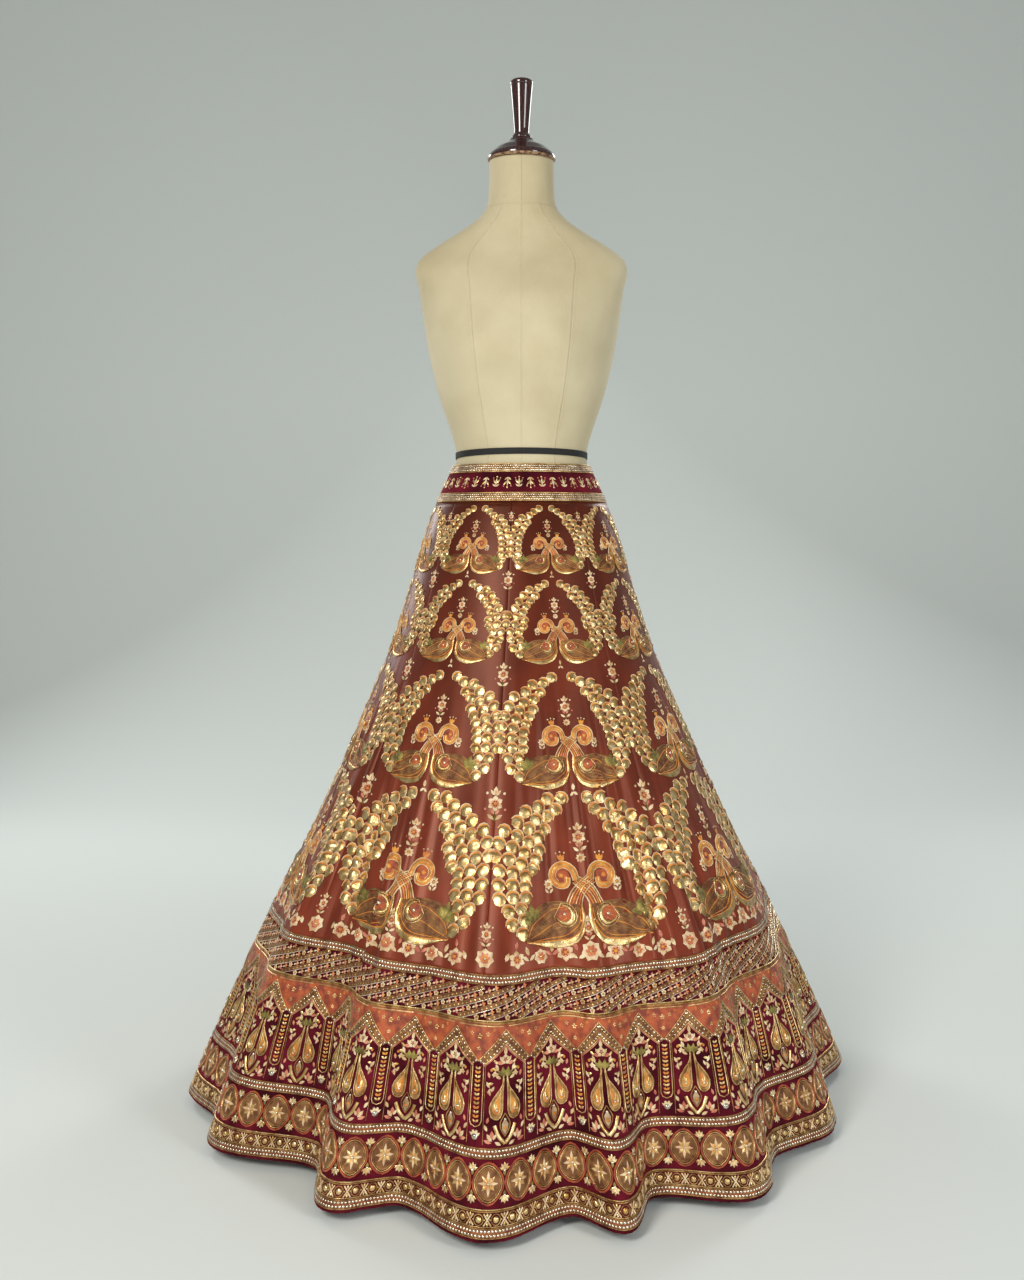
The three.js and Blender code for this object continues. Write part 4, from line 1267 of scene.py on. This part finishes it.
steel, tree, shader = principled("brushed_steel", Metallic=1.0)
links = tree.links
place = add_node(tree, "TexCoord")
brush = add_node(tree, "Mapping", Scale=(40, 40, 700))
scratch = add_node(tree, "TexNoise", Scale=1, Detail=4)
dull = add_node(tree, "MapRange", To_Min=0.28, To_Max=0.50)
grey = two_colours(tree, (0.30, 0.31, 0.33, 1), (0.55, 0.56, 0.58, 1))
links.new(place.outputs["Object"], brush.inputs["Vector"])
links.new(brush.outputs["Vector"], scratch.inputs["Vector"])
links.new(scratch.outputs["Fac"], dull.inputs["Value"])
links.new(dull.outputs["Result"], shader.inputs["Roughness"])
links.new(scratch.outputs["Fac"], grey.inputs["Fac"])
links.new(grey.outputs["Color"], shader.inputs["Base Color"])

plate_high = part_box("base_plate")[1]
plate_top, plate_radius = plate_high[2], plate_high[0]
plate = turned("steel_base_plate", rounded([
    (plate_radius - 0.004, 0.0), (plate_radius - 0.0008, 0.0), (plate_radius, 0.003),
    (plate_radius, plate_top - 0.003), (plate_radius - 0.003, plate_top),
    (plate_radius - 0.012, plate_top), (plate_radius - 0.013, plate_top - 0.0008),
    (plate_radius - 0.014, plate_top), (0.05, plate_top)]), 128, steel)
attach(plate, "root")
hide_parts("base_plate")


def sleeve(name, node, corners, screws, screw_height):
    """A bored steel fitting round the pole, with hex screws set into its side."""
    ring = rounded(corners + [corners[0]])
    steps = 64
    a = np.arange(steps) * 2 * np.pi / steps
    points = np.vstack([np.stack((r * np.sin(a), -r * np.cos(a), 0 * a + z), axis=-1)
                        for r, z in ring[:-1]])
    rows = len(ring) - 1
    faces = [tuple(f) for f in grid_faces(rows, steps, closed=True)]
    last = (rows - 1) * steps
    faces += [(last + i, last + (i + 1) % steps, (i + 1) % steps, i) for i in range(steps)]
    reach = max(r for r, z in corners if abs(z - screw_height) < 0.05 or z > screw_height)
    points = list(map(tuple, points))
    for k in range(screws):
        turn = 2 * np.pi * (k + 0.25) / screws
        out = np.array((math.sin(turn), -math.cos(turn), 0))
        side = np.array((math.cos(turn), math.sin(turn), 0))
        start = len(points)
        for depth, wide in ((-0.001, 0.0042), (0.0018, 0.0042), (0.0022, 0.0038), (0.0022, 0.0022),
                            (0.0008, 0.0022)):
            for i in range(6):
                b = i * np.pi / 3
                spot = (out * (reach + depth) + side * wide * math.cos(b)
                        + np.array((0, 0, screw_height + wide * math.sin(b))))
                points.append(tuple(spot))
        for row in range(4):
            for i in range(6):
                j = (i + 1) % 6
                faces.append((start + row * 6 + i, start + row * 6 + j,
                              start + row * 6 + 6 + j, start + row * 6 + 6 + i))
        faces.append(tuple(start + 24 + i for i in range(6)))
    piece = add_mesh(name, points, faces, steel, smooth=False)
    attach(piece, "root")
    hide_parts(node)


pole_low, pole_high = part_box("pole")
pole_radius = pole_high[0]
bore = pole_radius + SEAM_GAP
collar_low, collar_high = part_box("base_collar")
collar_side = collar_high[0] - 0.0003
sleeve("steel_base_collar", "base_collar", [
    (bore, collar_low[2]), (collar_side, collar_low[2]),
    (collar_side, collar_low[2] + 0.027), (bore + 0.004, collar_high[2]),
    (bore, collar_high[2])], 3, collar_low[2] + 0.016)
socket_low, socket_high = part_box("form_socket")
flange_foot = socket_high[2] - 0.008
sleeve("steel_form_socket", "form_socket", [
    (bore, socket_low[2]), (0.024, socket_low[2]), (0.024, flange_foot),
    (socket_high[0], flange_foot), (socket_high[0], socket_high[2]),
    (bore, socket_high[2])], 2, flange_foot + 0.004)
pole_rows = [(pole_radius - 0.001, pole_low[2]), (pole_radius, pole_low[2] + 0.001)]
pole_rows += [(pole_radius, z) for z in np.linspace(pole_low[2] + 0.02, pole_high[2] - 0.02, 12)]
for notch in (0.30, 0.36, 0.42, 0.48):
    pole_rows += [(pole_radius, notch - 0.0012), (pole_radius - 0.0007, notch - 0.0004),
                  (pole_radius - 0.0007, notch + 0.0004), (pole_radius, notch + 0.0012)]
pole_rows += [(pole_radius, pole_high[2] - 0.001), (pole_radius - 0.001, pole_high[2])]
pole_rows = sorted(pole_rows, key=lambda row: row[1])
pole = turned("steel_pole", pole_rows, 48, steel)
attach(pole, "root")
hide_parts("pole")
